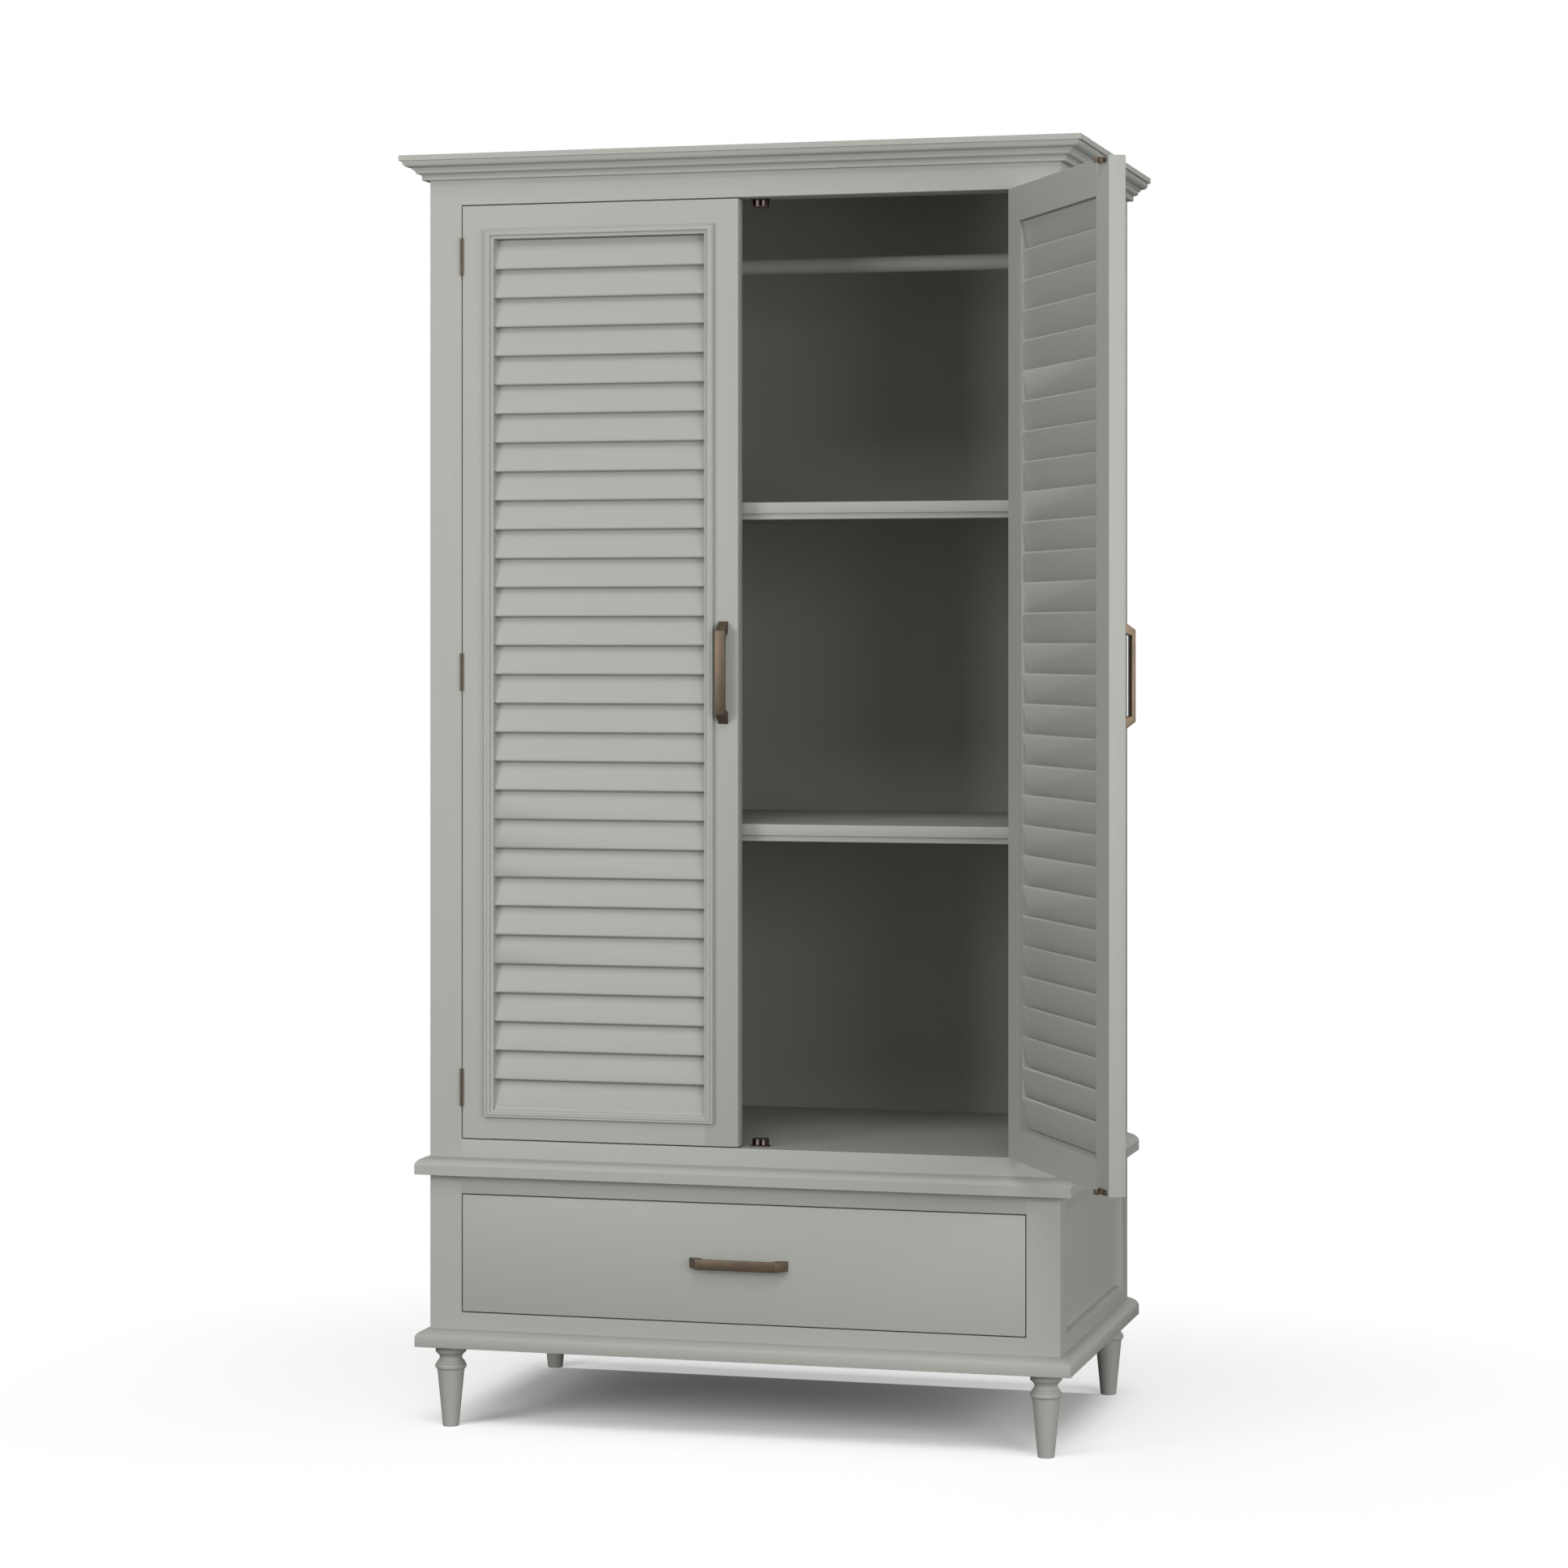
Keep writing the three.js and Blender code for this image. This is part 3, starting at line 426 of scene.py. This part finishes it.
def piece_from(mesh, name):
    """A new object of the mesh, smooth but for its sharp edges."""
    bmesh.ops.recalc_face_normals(mesh, faces=mesh.faces)
    data = bpy.data.meshes.new(name)
    mesh.to_mesh(data)
    mesh.free()
    data.polygons.foreach_set("use_smooth", [True] * len(data.polygons))
    data.set_sharp_from_angle(angle=math.radians(SHARP_DEG))
    piece = bpy.data.objects.new(name, data)
    bpy.context.scene.collection.objects.link(piece)
    return piece


def copied_mesh(node):
    """The CAD node's faces with their corners joined and their flat triangles merged."""
    mesh = bmesh.new()
    mesh.from_mesh(NODES[node].data)
    bmesh.ops.remove_doubles(mesh, verts=mesh.verts, dist=WELD_REACH)
    flat = math.radians(FLAT_DEG)
    bmesh.ops.dissolve_limit(mesh, angle_limit=flat, verts=mesh.verts, edges=mesh.edges)
    return mesh


def end_planes(mesh, joints, to_local):
    """The planes on which a board meets its neighbours, each as an axis and a level.

    The joints are written as signed axes of the board's own frame, such as "-x +z".
    """
    corners = [to_local @ vert.co for vert in mesh.verts]
    planes = []
    for sign, letter in joints.split():
        axis = "xyz".index(letter)
        levels = [corner[axis] for corner in corners]
        planes.append((axis, max(levels) if sign == "+" else min(levels)))
    return planes


def ease_edges(mesh, width, joints, to_local):
    """Rounds over the outer edges, except those where the board meets its neighbours."""
    planes = end_planes(mesh, joints, to_local)

    def is_joint(edge):
        ends = [to_local @ vert.co for vert in edge.verts]
        return any(
            all(abs(end[axis] - level) < JOINT_REACH for end in ends) for axis, level in planes
        )

    sharp = [
        edge
        for edge in mesh.edges
        if edge.calc_face_angle_signed(0) > math.radians(SHARP_DEG) and not is_joint(edge)
    ]
    bmesh.ops.bevel(
        mesh,
        geom=sharp,
        offset=width,
        segments=EDGE_STEPS,
        profile=ROUND_PROFILE,
        affect="EDGES",
        clamp_overlap=True,
    )


def eased(node, body, material, edge_mm, joints="", to_local=Matrix()):
    """A copy of a CAD node with eased edges, which stands for it."""
    mesh = copied_mesh(node)
    if edge_mm:
        ease_edges(mesh, edge_mm * MM, joints, to_local)
    finish_piece(piece_from(mesh, f"{node}_seen"), body, node, [material])


# Carcass


def dress_carcass():
    """The boards with the ends at which each meets its neighbours, and the smooth pieces."""
    upright = {
        "face_frame_left_stile": "+x +y -z +z",
        "face_frame_right_stile": "-x +y -z +z",
        "left_side": "-y -z +z",
        "right_side": "-y -z +z",
    }
    level = {
        "face_frame_bottom_rail": "-x +x +y -z",
        "face_frame_middle_rail": "-x +x +y",
        "face_frame_top_rail": "-x +x +z",
        "base_board": "+z",
        "cupboard_floor": "-x +x -y +y",
        "lower_shelf": "-x +x +y",
        "upper_shelf": "-x +x +y",
    }
    smooth = ["waist_moulding", "cornice", "hanging_rod"]
    for node, joints in upright.items():
        eased(node, "carcass", PAINT_UPRIGHT, BOARD_EDGE_MM, joints)
    for node, joints in level.items():
        eased(node, "carcass", PAINT_LEVEL, BOARD_EDGE_MM, joints)
    for node in smooth:
        eased(node, "carcass", PAINT_LEVEL, 0)


def paint_kept_nodes():
    """The CAD nodes whose shape is right as it is get only a finish."""
    finishes = {
        "back_panel": PAINT_UPRIGHT,
        "top_board": PAINT_LEVEL,
        "left_drawer_runner": WOOD_DEEP,
        "right_drawer_runner": WOOD_DEEP,
        "drawer_back": WOOD_ACROSS,
        "drawer_bottom": WOOD_DEEP,
    }
    for node, material in finishes.items():
        data = NODES[node].data
        data.materials.clear()
        data.materials.append(material)


# Legs

LEG_TURNS = 72
LEG_CURVE_STEPS = 10
# Each line or pulled curve: shares of the collar's radius and of the height, from the floor up
LEG_CURVES = [
    [(0, 0), (0.476, 0)],
    [(0.476, 0), (0.53, 0), (0.53, 0.011)],
    [(0.53, 0.011), (0.861, 0.655)],
    [(0.861, 0.655), (0.885, 0.685), (0.893, 0.703)],
    [(0.893, 0.703), (0.96, 0.71)],
    [(0.96, 0.71), (1.02, 0.718), (1.02, 0.741)],
    [(1.02, 0.741), (1.02, 0.759), (0.96, 0.766)],
    [(0.96, 0.766), (0.92, 0.771)],
    [(0.92, 0.771), (0.94, 0.778), (0.93, 0.785)],
    [(0.93, 0.785), (0.73, 0.822), (0.73, 0.845)],
    [(0.73, 0.845), (0.73, 0.874), (1, 0.9125)],
    [(1, 0.9125), (1, 1)],
    [(1, 1), (0, 1)],
]
LEG_RING_SHARE = 1.02  # the ring is the widest place, so it fills the node


def curve_points(points, steps):
    """Points of a straight or pulled curve, without its last one."""
    if len(points) == 2:
        return [points[0]]
    start, pull, end = (Vector(point) for point in points)
    curve = []
    for step in range(steps):
        t = step / steps
        curve.append(start * (1 - t) ** 2 + pull * 2 * t * (1 - t) + end * t**2)
    return curve


def lathe(mesh, profile, turns, place=Matrix()):
    """Adds a solid of revolution about Z. Its (radius, height) points start and end on the axis."""
    rings = []
    for radius, height in profile:
        count = turns if radius > TINY else 1
        ring = []
        for turn in range(count):
            angle = 2 * math.pi * turn / turns
            corner = Vector((radius * math.cos(angle), radius * math.sin(angle), height))
            ring.append(mesh.verts.new(place @ corner))
        rings.append(ring)
    for low, high in zip(rings, rings[1:]):
        for turn in range(turns):
            after = (turn + 1) % turns
            corners = [
                low[turn % len(low)],
                low[after % len(low)],
                high[after % len(high)],
                high[turn % len(high)],
            ]
            unique = list(dict.fromkeys(corners))
            if len(unique) > 2:
                mesh.faces.new(unique)


def turn_legs():
    """The four legs, each turned within the space of its node."""
    for node in ("front_left_leg", "front_right_leg", "back_left_leg", "back_right_leg"):
        low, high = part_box(node)
        radius = (high.x - low.x) / 2 / LEG_RING_SHARE
        height = high.z
        profile = []
        for points in LEG_CURVES:
            profile.extend(curve_points(points, LEG_CURVE_STEPS))
        profile.append(LEG_CURVES[-1][-1])
        place = Matrix.Translation(((low.x + high.x) / 2, (low.y + high.y) / 2, 0))
        mesh = bmesh.new()
        lathe(mesh, [(across * radius, up * height) for across, up in profile], LEG_TURNS, place)
        piece = piece_from(mesh, f"{node}_turned")
        finish_piece(piece, "carcass", node, [PAINT_UPRIGHT])


# Doors


def door_frame(side):
    """From a door's own frame, pin at the origin and door along +X, to where it stands at rest."""
    place = Matrix.Translation(PIN[f"{side}_door"])
    place.translation.z = 0
    if side == "left":
        return place
    turned = Matrix.Rotation(math.radians(RIGHT_DOOR_OPEN_DEG), 4, "Z")
    return place @ turned @ Matrix.Scale(-1, 4, (1, 0, 0))


def door_box(side, node):
    """A node's lowest and highest corners in its door's own frame."""
    to_door = door_frame(side).inverted()
    corners = [to_door @ vert.co for vert in NODES[node].data.vertices]
    low = Vector([min(corner[axis] for corner in corners) for axis in range(3)])
    high = Vector([max(corner[axis] for corner in corners) for axis in range(3)])
    return low, high


def dress_door(side):
    """One door with its pull and hinges. Its catches and strikes are made later."""
    body = f"{side}_door"
    level = PAINT_LEVEL if side == "left" else PAINT_TURNED
    members = {
        "lock_stile": (PAINT_UPRIGHT, "-x"),
        "top_rail": (level, "-x +x -z"),
        "bottom_rail": (level, "-x +x +z"),
    }
    to_door = door_frame(side).inverted()
    for member, (paint, joints) in members.items():
        node = f"{side}_door_{member}"
        eased(node, body, paint, SLAT_EDGE_MM, joints, to_door)
    dress_moulding(side, level)
    eased(f"{side}_door_pull", body, BRONZE_UPRIGHT, METAL_EDGE_MM)
    for place in ("bottom", "middle", "top"):
        eased(f"{side}_door_{place}_hinge_leaf", body, BRONZE_UPRIGHT, 0)
        eased(f"{side}_{place}_hinge_frame_leaf", "carcass", BRONZE_UPRIGHT, 0)
    dress_louvres(side, level)


def dress_moulding(side, level):
    """The moulding round the louvres, with its bottom run slimmer, as in the photograph."""
    node = f"{side}_door_moulding"
    mesh = copied_mesh(node)
    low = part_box(node)[0].z
    high = low + MOULDING_WIDTH_MM * MM
    seen_low = low + RUN_LIFT_MM * MM
    seen_high = high - RUN_DROP_MM * MM
    for vert in mesh.verts:
        if vert.co.z < high + TINY:
            share = (vert.co.z - low) / (high - low)
            vert.co.z = seen_low + share * (seen_high - seen_low)
    piece = piece_from(mesh, f"{node}_seen")
    finish_piece(piece, f"{side}_door", node, [level])


def add_foot_fillet(mesh, side):
    """A slim strip that fills the crevice between the bottom rail and the lowest slat's foot."""
    low, high = door_box(side, f"{side}_door_bottom_rail")
    front, rail_top = low.y, high.z
    section = [(front + depth * MM, rail_top + up * MM) for depth, up in FOOT_FILLET_MM]
    place = door_frame(side)
    ends = []
    for across in (low.x + FILLET_END_GAP_MM * MM, high.x - FILLET_END_GAP_MM * MM):
        corners = [place @ Vector((across, y, z)) for y, z in section]
        ends.append([mesh.verts.new(corner) for corner in corners])
    near, far = ends
    mesh.faces.new(near)
    mesh.faces.new(far[::-1])
    for here in range(len(section)):
        after = (here + 1) % len(section)
        mesh.faces.new((near[here], far[here], far[after], near[after]))


def dress_louvres(side, level):
    """The hinge stile with its slats: grain runs up the stile and along the slats."""
    slats_start = (HINGE_STILE_WIDTH_MM + STILE_MARGIN_MM) * MM
    node = f"{side}_door_louvred_hinge_stile"
    mesh = copied_mesh(node)
    to_door = door_frame(side).inverted()
    add_foot_fillet(mesh, side)
    for face in mesh.faces:
        across = (to_door @ face.calc_center_median()).x
        face.material_index = 1 if across > slats_start else 0
    piece = piece_from(mesh, f"{node}_seen")
    finish_piece(piece, f"{side}_door", node, [PAINT_UPRIGHT, level])


# Roller catches and strikes

# Lengths in this part are in millimetres, and each piece is scaled down once it is made
CATCH_METAL = 1.3
CATCH_CAGE_WIDTH = 26.0
CATCH_CORNER = 2.2
CATCH_BACK_INSETS = (0.15, 0.7)  # of the closed back's two faces, from the plate's rear edge
CATCH_PLATE_CORNER = 4.0
ROLLER_RADIUS = 3.0
ROLLER_SPACING = 11.2
ROLLER_EDGE = 0.7
ROLLER_TURNS = 32
ROLLER_GAP = 0.3
NYLON_INDEX = 1  # of the catch's two materials
PIN_RADIUS = 1.1
SCREW_RADIUS = 2.4
CATCH_SCREW_RADIUS = 1.7
SCREW_DOME = 1.0
SCREW_SLOT = 0.35  # half its width
SCREW_TURNS = 24
CATCH_SCREW_INSET = 2.1
STRIKE_METAL = 1.5
STRIKE_CORNER = 2.0
STRIKE_SCREW_INSET = 4.5
# Each point: share of the reach past the strip, and half the tongue's width
STRIKE_TONGUE = [
    (0, 3.0),
    (0.05, 1.9),
    (0.14, 1.3),
    (0.38, 1.15),
    (0.50, 1.7),
    (0.64, 2.2),
    (0.80, 1.9),
    (0.93, 1.1),
    (1, 0.3),
]
CORNER_STEPS = 5
METAL_BEVEL = 0.2


def rounded_box(width, depth, corner):
    """The outline of a box round the origin with rounded corners, anticlockwise."""
    outline = []
    for quarter, (side_x, side_y) in enumerate(((1, 1), (-1, 1), (-1, -1), (1, -1))):
        middle = Vector((side_x * (width / 2 - corner), side_y * (depth / 2 - corner)))
        for step in range(CORNER_STEPS + 1):
            angle = math.pi / 2 * (quarter + step / CORNER_STEPS)
            outline.append(middle + corner * Vector((math.cos(angle), math.sin(angle))))
    return outline


def strap_outline(width, height, metal, corner):
    """An arch of bent strip in x and z that stands on z = 0, with rounded shoulders."""
    outer = [Vector((width / 2, 0))]
    inner = [Vector((width / 2 - metal, 0))]
    for side, first in ((1, 0), (-1, 1)):
        middle = Vector((side * (width / 2 - corner), height - corner))
        for step in range(CORNER_STEPS + 1):
            angle = math.pi / 2 * (first + step / CORNER_STEPS)
            arm = Vector((math.cos(angle), math.sin(angle)))
            outer.append(middle + corner * arm)
            inner.append(middle + (corner - metal) * arm)
    outer.append(Vector((-width / 2, 0)))
    inner.append(Vector((metal - width / 2, 0)))
    return outer + inner[::-1]


def extrude(mesh, outline, low, high, place=Matrix()):
    """Adds a flat outline in x and y run up from one z to another, with its rims softened."""
    bottom = [mesh.verts.new(place @ Vector((x, y, low))) for x, y in outline]
    top = [mesh.verts.new(place @ Vector((x, y, high))) for x, y in outline]
    count = len(outline)
    caps = [mesh.faces.new(bottom[::-1]), mesh.faces.new(top)]
    for here in range(count):
        after = (here + 1) % count
        mesh.faces.new((bottom[here], bottom[after], top[after], top[here]))
    rims = [edge for cap in caps for edge in cap.edges]
    bmesh.ops.bevel(
        mesh, geom=rims, offset=METAL_BEVEL, segments=1, affect="EDGES", clamp_overlap=True
    )


# Both make an outline's y its height. It then runs towards -y, or in the mirrored one towards +y
STAND_UP = Matrix(((1, 0, 0, 0), (0, 0, -1, 0), (0, 1, 0, 0), (0, 0, 0, 1)))
STAND_UP_MIRRORED = Matrix(((1, 0, 0, 0), (0, 0, 1, 0), (0, 1, 0, 0), (0, 0, 0, 1)))


def add_screw(mesh, place, radius):
    """A domed screw head with a slot, on z = 0."""
    dome = [(0, -METAL_BEVEL), (radius, -METAL_BEVEL)]
    for step in range(CORNER_STEPS):
        angle = math.pi / 2 * step / CORNER_STEPS
        dome.append((radius * math.cos(angle), SCREW_DOME * math.sin(angle)))
    dome.append((0, SCREW_DOME))
    made_before = set(mesh.verts)
    lathe(mesh, dome, SCREW_TURNS)
    for vert in set(mesh.verts) - made_before:
        if abs(vert.co.y) < SCREW_SLOT and vert.co.z > SCREW_DOME / 2:
            vert.co.z -= SCREW_DOME / 2
        vert.co = place @ vert.co


def catch_mesh(width, depth, height):
    """A roller catch on z = 0: a screwed plate, and two rollers in an arch with a closed back."""
    mesh = bmesh.new()
    extrude(mesh, rounded_box(width, depth, CATCH_PLATE_CORNER), 0, CATCH_METAL)
    arch = strap_outline(CATCH_CAGE_WIDTH, height - CATCH_METAL / 2, CATCH_METAL, CATCH_CORNER)
    upright = Matrix.Translation((0, 0, CATCH_METAL / 2)) @ STAND_UP
    extrude(mesh, arch, -depth / 2 + METAL_BEVEL, depth / 2 - METAL_BEVEL, upright)
    half = CATCH_CAGE_WIDTH / 2 - CATCH_METAL / 2
    rear, front = (depth / 2 - inset for inset in CATCH_BACK_INSETS)
    back = [(-half, front), (half, front), (half, rear), (-half, rear)]
    extrude(mesh, back, CATCH_METAL / 2, height - CATCH_METAL / 2)
    low = CATCH_METAL + ROLLER_GAP
    high = height - CATCH_METAL - ROLLER_GAP
    roller = [
        (0, low),
        (ROLLER_RADIUS - ROLLER_EDGE, low),
        (ROLLER_RADIUS, low + ROLLER_EDGE),
        (ROLLER_RADIUS, high - ROLLER_EDGE),
        (ROLLER_RADIUS - ROLLER_EDGE, high),
        (0, high),
    ]
    pin = [
        (0, CATCH_METAL / 2),
        (PIN_RADIUS, CATCH_METAL / 2),
        (PIN_RADIUS, height - METAL_BEVEL),
        (0, height - METAL_BEVEL / 2),
    ]
    for side in (-1, 1):
        across = side * ROLLER_SPACING / 2
        place = Matrix.Translation((across, 0, 0))
        lathe(mesh, pin, ROLLER_TURNS, place)
        inset = side * (width / 2 - CATCH_SCREW_INSET)
        add_screw(mesh, Matrix.Translation((inset, 0, CATCH_METAL)), CATCH_SCREW_RADIUS)
        metal_faces = set(mesh.faces)
        lathe(mesh, roller, ROLLER_TURNS, place)
        for face in set(mesh.faces) - metal_faces:
            face.material_index = NYLON_INDEX
    return mesh


def strike_mesh(width, height, reach):
    """A strike on y = 0: a strip with a screw at each end and a spear-shaped tongue towards +y."""
    mesh = bmesh.new()
    strip = rounded_box(width, height, STRIKE_CORNER)
    extrude(mesh, strip, 0, STRIKE_METAL, STAND_UP_MIRRORED)
    foot = STRIKE_METAL - METAL_BEVEL
    length = reach - STRIKE_METAL
    right = [Vector((half, foot + share * length)) for share, half in STRIKE_TONGUE]
    left = [Vector((-point.x, point.y)) for point in reversed(right)]
    extrude(mesh, right + left, -height / 2, height / 2)
    for side in (-1, 1):
        place = Matrix.Translation((side * (width / 2 - STRIKE_SCREW_INSET), STRIKE_METAL, 0))
        add_screw(mesh, place @ STAND_UP_MIRRORED, SCREW_RADIUS)
    return mesh


def make_catches():
    """The catches on the cupboard floor, and the same hung upside down from the top rail."""
    for side in ("left", "right"):
        for place, turn in (("bottom", 1), ("top", -1)):
            node = f"{side}_{place}_catch"
            low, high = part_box(node)
            size = (high - low) / MM
            mesh = catch_mesh(size.x, size.y, size.z)
            base = low.z if turn == 1 else high.z
            middle = Vector(((low.x + high.x) / 2, (low.y + high.y) / 2, base))
            mesh.transform(Matrix.Translation(middle) @ Matrix.Diagonal((MM, MM, turn * MM, 1)))
            piece = piece_from(mesh, f"{node}_made")
            finish_piece(piece, "carcass", node, [CATCH_BRONZE, ROLLER_NYLON])


def make_strikes():
    """The strikes on the doors' backs, with their tongues towards the rollers."""
    for side in ("left", "right"):
        for place in ("bottom", "top"):
            node = f"{side}_door_{place}_strike"
            low, high = door_box(side, node)
            size = (high - low) / MM
            mesh = strike_mesh(size.x, size.z, size.y)
            middle = Vector(((low.x + high.x) / 2, low.y, (low.z + high.z) / 2))
            mesh.transform(door_frame(side) @ Matrix.Translation(middle) @ Matrix.Scale(MM, 4))
            piece = piece_from(mesh, f"{node}_made")
            finish_piece(piece, f"{side}_door", node, [BRONZE_UPRIGHT])


# Drawer


def dress_drawer():
    eased("drawer_front", "drawer", PAINT_LEVEL, BOARD_EDGE_MM)
    for node in ("drawer_left_side", "drawer_right_side"):
        eased(node, "drawer", WOOD_DEEP, SLAT_EDGE_MM)
    eased("drawer_pull", "drawer", BRONZE_LEVEL, METAL_EDGE_MM)


# Room and view


def white_share(nodes):
    """How much of the floor's look is painted white, by its distance from the cabinet's shadow, and
    behind a line at least a set share, which lightens the shadow there.
    """
    place = nodes.add("ShaderNodeTexCoord").outputs["Object"]
    aside = nodes.vector_math("ABSOLUTE", nodes.vector_math("SUBTRACT", place, SHADOW_MIDDLE))
    outside = nodes.vector_math("SUBTRACT", aside, SHADOW_HALF)
    outside = nodes.vector_math("MAXIMUM", outside, (0, 0, 0))
    fade = nodes.add("ShaderNodeValToRGB")
    ramp = fade.color_ramp.elements
    ramp[0].position = FLOOR_FADE[0][0]
    ramp[1].position = FLOOR_FADE[-1][0]
    for distance, share in FLOOR_FADE[1:-1]:
        ramp.new(distance).color = (share, share, share, 1)
    nodes.link(nodes.vector_math("LENGTH", outside), fade.inputs["Fac"])
    depth = nodes.add("ShaderNodeSeparateXYZ")
    nodes.link(place, depth.inputs["Vector"])
    # Painted light: behind the line white is mixed in, which lightens the cabinet's shadow and cuts
    # it off
    shadow_cut_white = nodes.map_range(depth.outputs["Y"], SHADOW_CUT_LINE, (0, SHADOW_CUT_WHITE_SHARE))
    return nodes.larger(fade.outputs["Color"], shadow_cut_white)


def add_floor():
    """A plain floor that is seen fading to white, and that throws a softer light back."""
    mesh = bmesh.new()
    bmesh.ops.create_grid(mesh, x_segments=1, y_segments=1, size=FLOOR_HALF)
    floor = piece_from(mesh, "floor")
    nodes = Nodes("floor")
    seen = nodes.add("ShaderNodeBsdfDiffuse")
    seen.inputs["Color"].default_value = FLOOR_SEEN
    bounce = nodes.add("ShaderNodeBsdfDiffuse")
    bounce.inputs["Color"].default_value = FLOOR_BOUNCE
    white = nodes.add("ShaderNodeEmission")
    sight = nodes.add("ShaderNodeLightPath")
    share = white_share(nodes)
    looked_at = nodes.mix_shader(share, seen.outputs["BSDF"], white.outputs["Emission"])
    surface = nodes.mix_shader(sight.outputs["Is Camera Ray"], bounce.outputs["BSDF"], looked_at)
    output = nodes.add("ShaderNodeOutputMaterial")
    nodes.link(surface, output.inputs["Surface"])
    floor.data.materials.append(nodes.material)


def add_world():
    """Even soft light from all round, and plain white where the world is seen or mirrored."""
    world = bpy.data.worlds.new("studio")
    bpy.context.scene.world = world
    world.use_nodes = True
    nodes = Nodes.of_tree(world.node_tree)
    sight = nodes.add("ShaderNodeLightPath")
    direct = nodes.larger(sight.outputs["Is Camera Ray"], sight.outputs["Is Glossy Ray"])
    direct = nodes.larger(direct, sight.outputs["Is Transmission Ray"])
    strength = nodes.add("ShaderNodeMix", data_type="FLOAT")
    nodes.link(direct, strength.inputs["Factor"])
    strength.inputs["A"].default_value = ROOM_LIGHT
    strength.inputs["B"].default_value = BACKGROUND_LIGHT
    background = nodes.add("ShaderNodeBackground")
    background.inputs["Color"].default_value = WHITE
    nodes.link(strength.outputs["Result"], background.inputs["Strength"])
    output = nodes.add("ShaderNodeOutputWorld")
    nodes.link(background.outputs["Background"], output.inputs["Surface"])


def add_lamps():
    for name, (place, width, watts) in LAMPS.items():
        lamp = bpy.data.lights.new(name, "AREA")
        lamp.shape = "SQUARE"
        lamp.size = width
        lamp.energy = watts
        piece = bpy.data.objects.new(name, lamp)
        piece.location = place
        away = Vector(place) - Vector(LAMP_TARGET)
        piece.rotation_euler = away.to_track_quat("Z", "Y").to_euler()
        bpy.context.scene.collection.objects.link(piece)


def add_camera():
    lens = bpy.data.cameras.new("camera")
    lens.sensor_width = SENSOR_MM
    lens.lens = LENS_MM
    lens.shift_y = LENS_SHIFT
    camera = bpy.data.objects.new("camera", lens)
    camera.location = CAMERA_PLACE
    camera.rotation_euler = (math.radians(CAMERA_LEVEL_DEG), 0, math.radians(CAMERA_TURN_DEG))
    bpy.context.scene.collection.objects.link(camera)
    bpy.context.scene.camera = camera


add_camera()
add_world()
add_lamps()
add_floor()
dress_carcass()
paint_kept_nodes()
turn_legs()
dress_door("left")
dress_door("right")
dress_drawer()
make_catches()
make_strikes()

bpy.context.scene.view_settings.view_transform = "Standard"
bpy.context.view_layer.update()
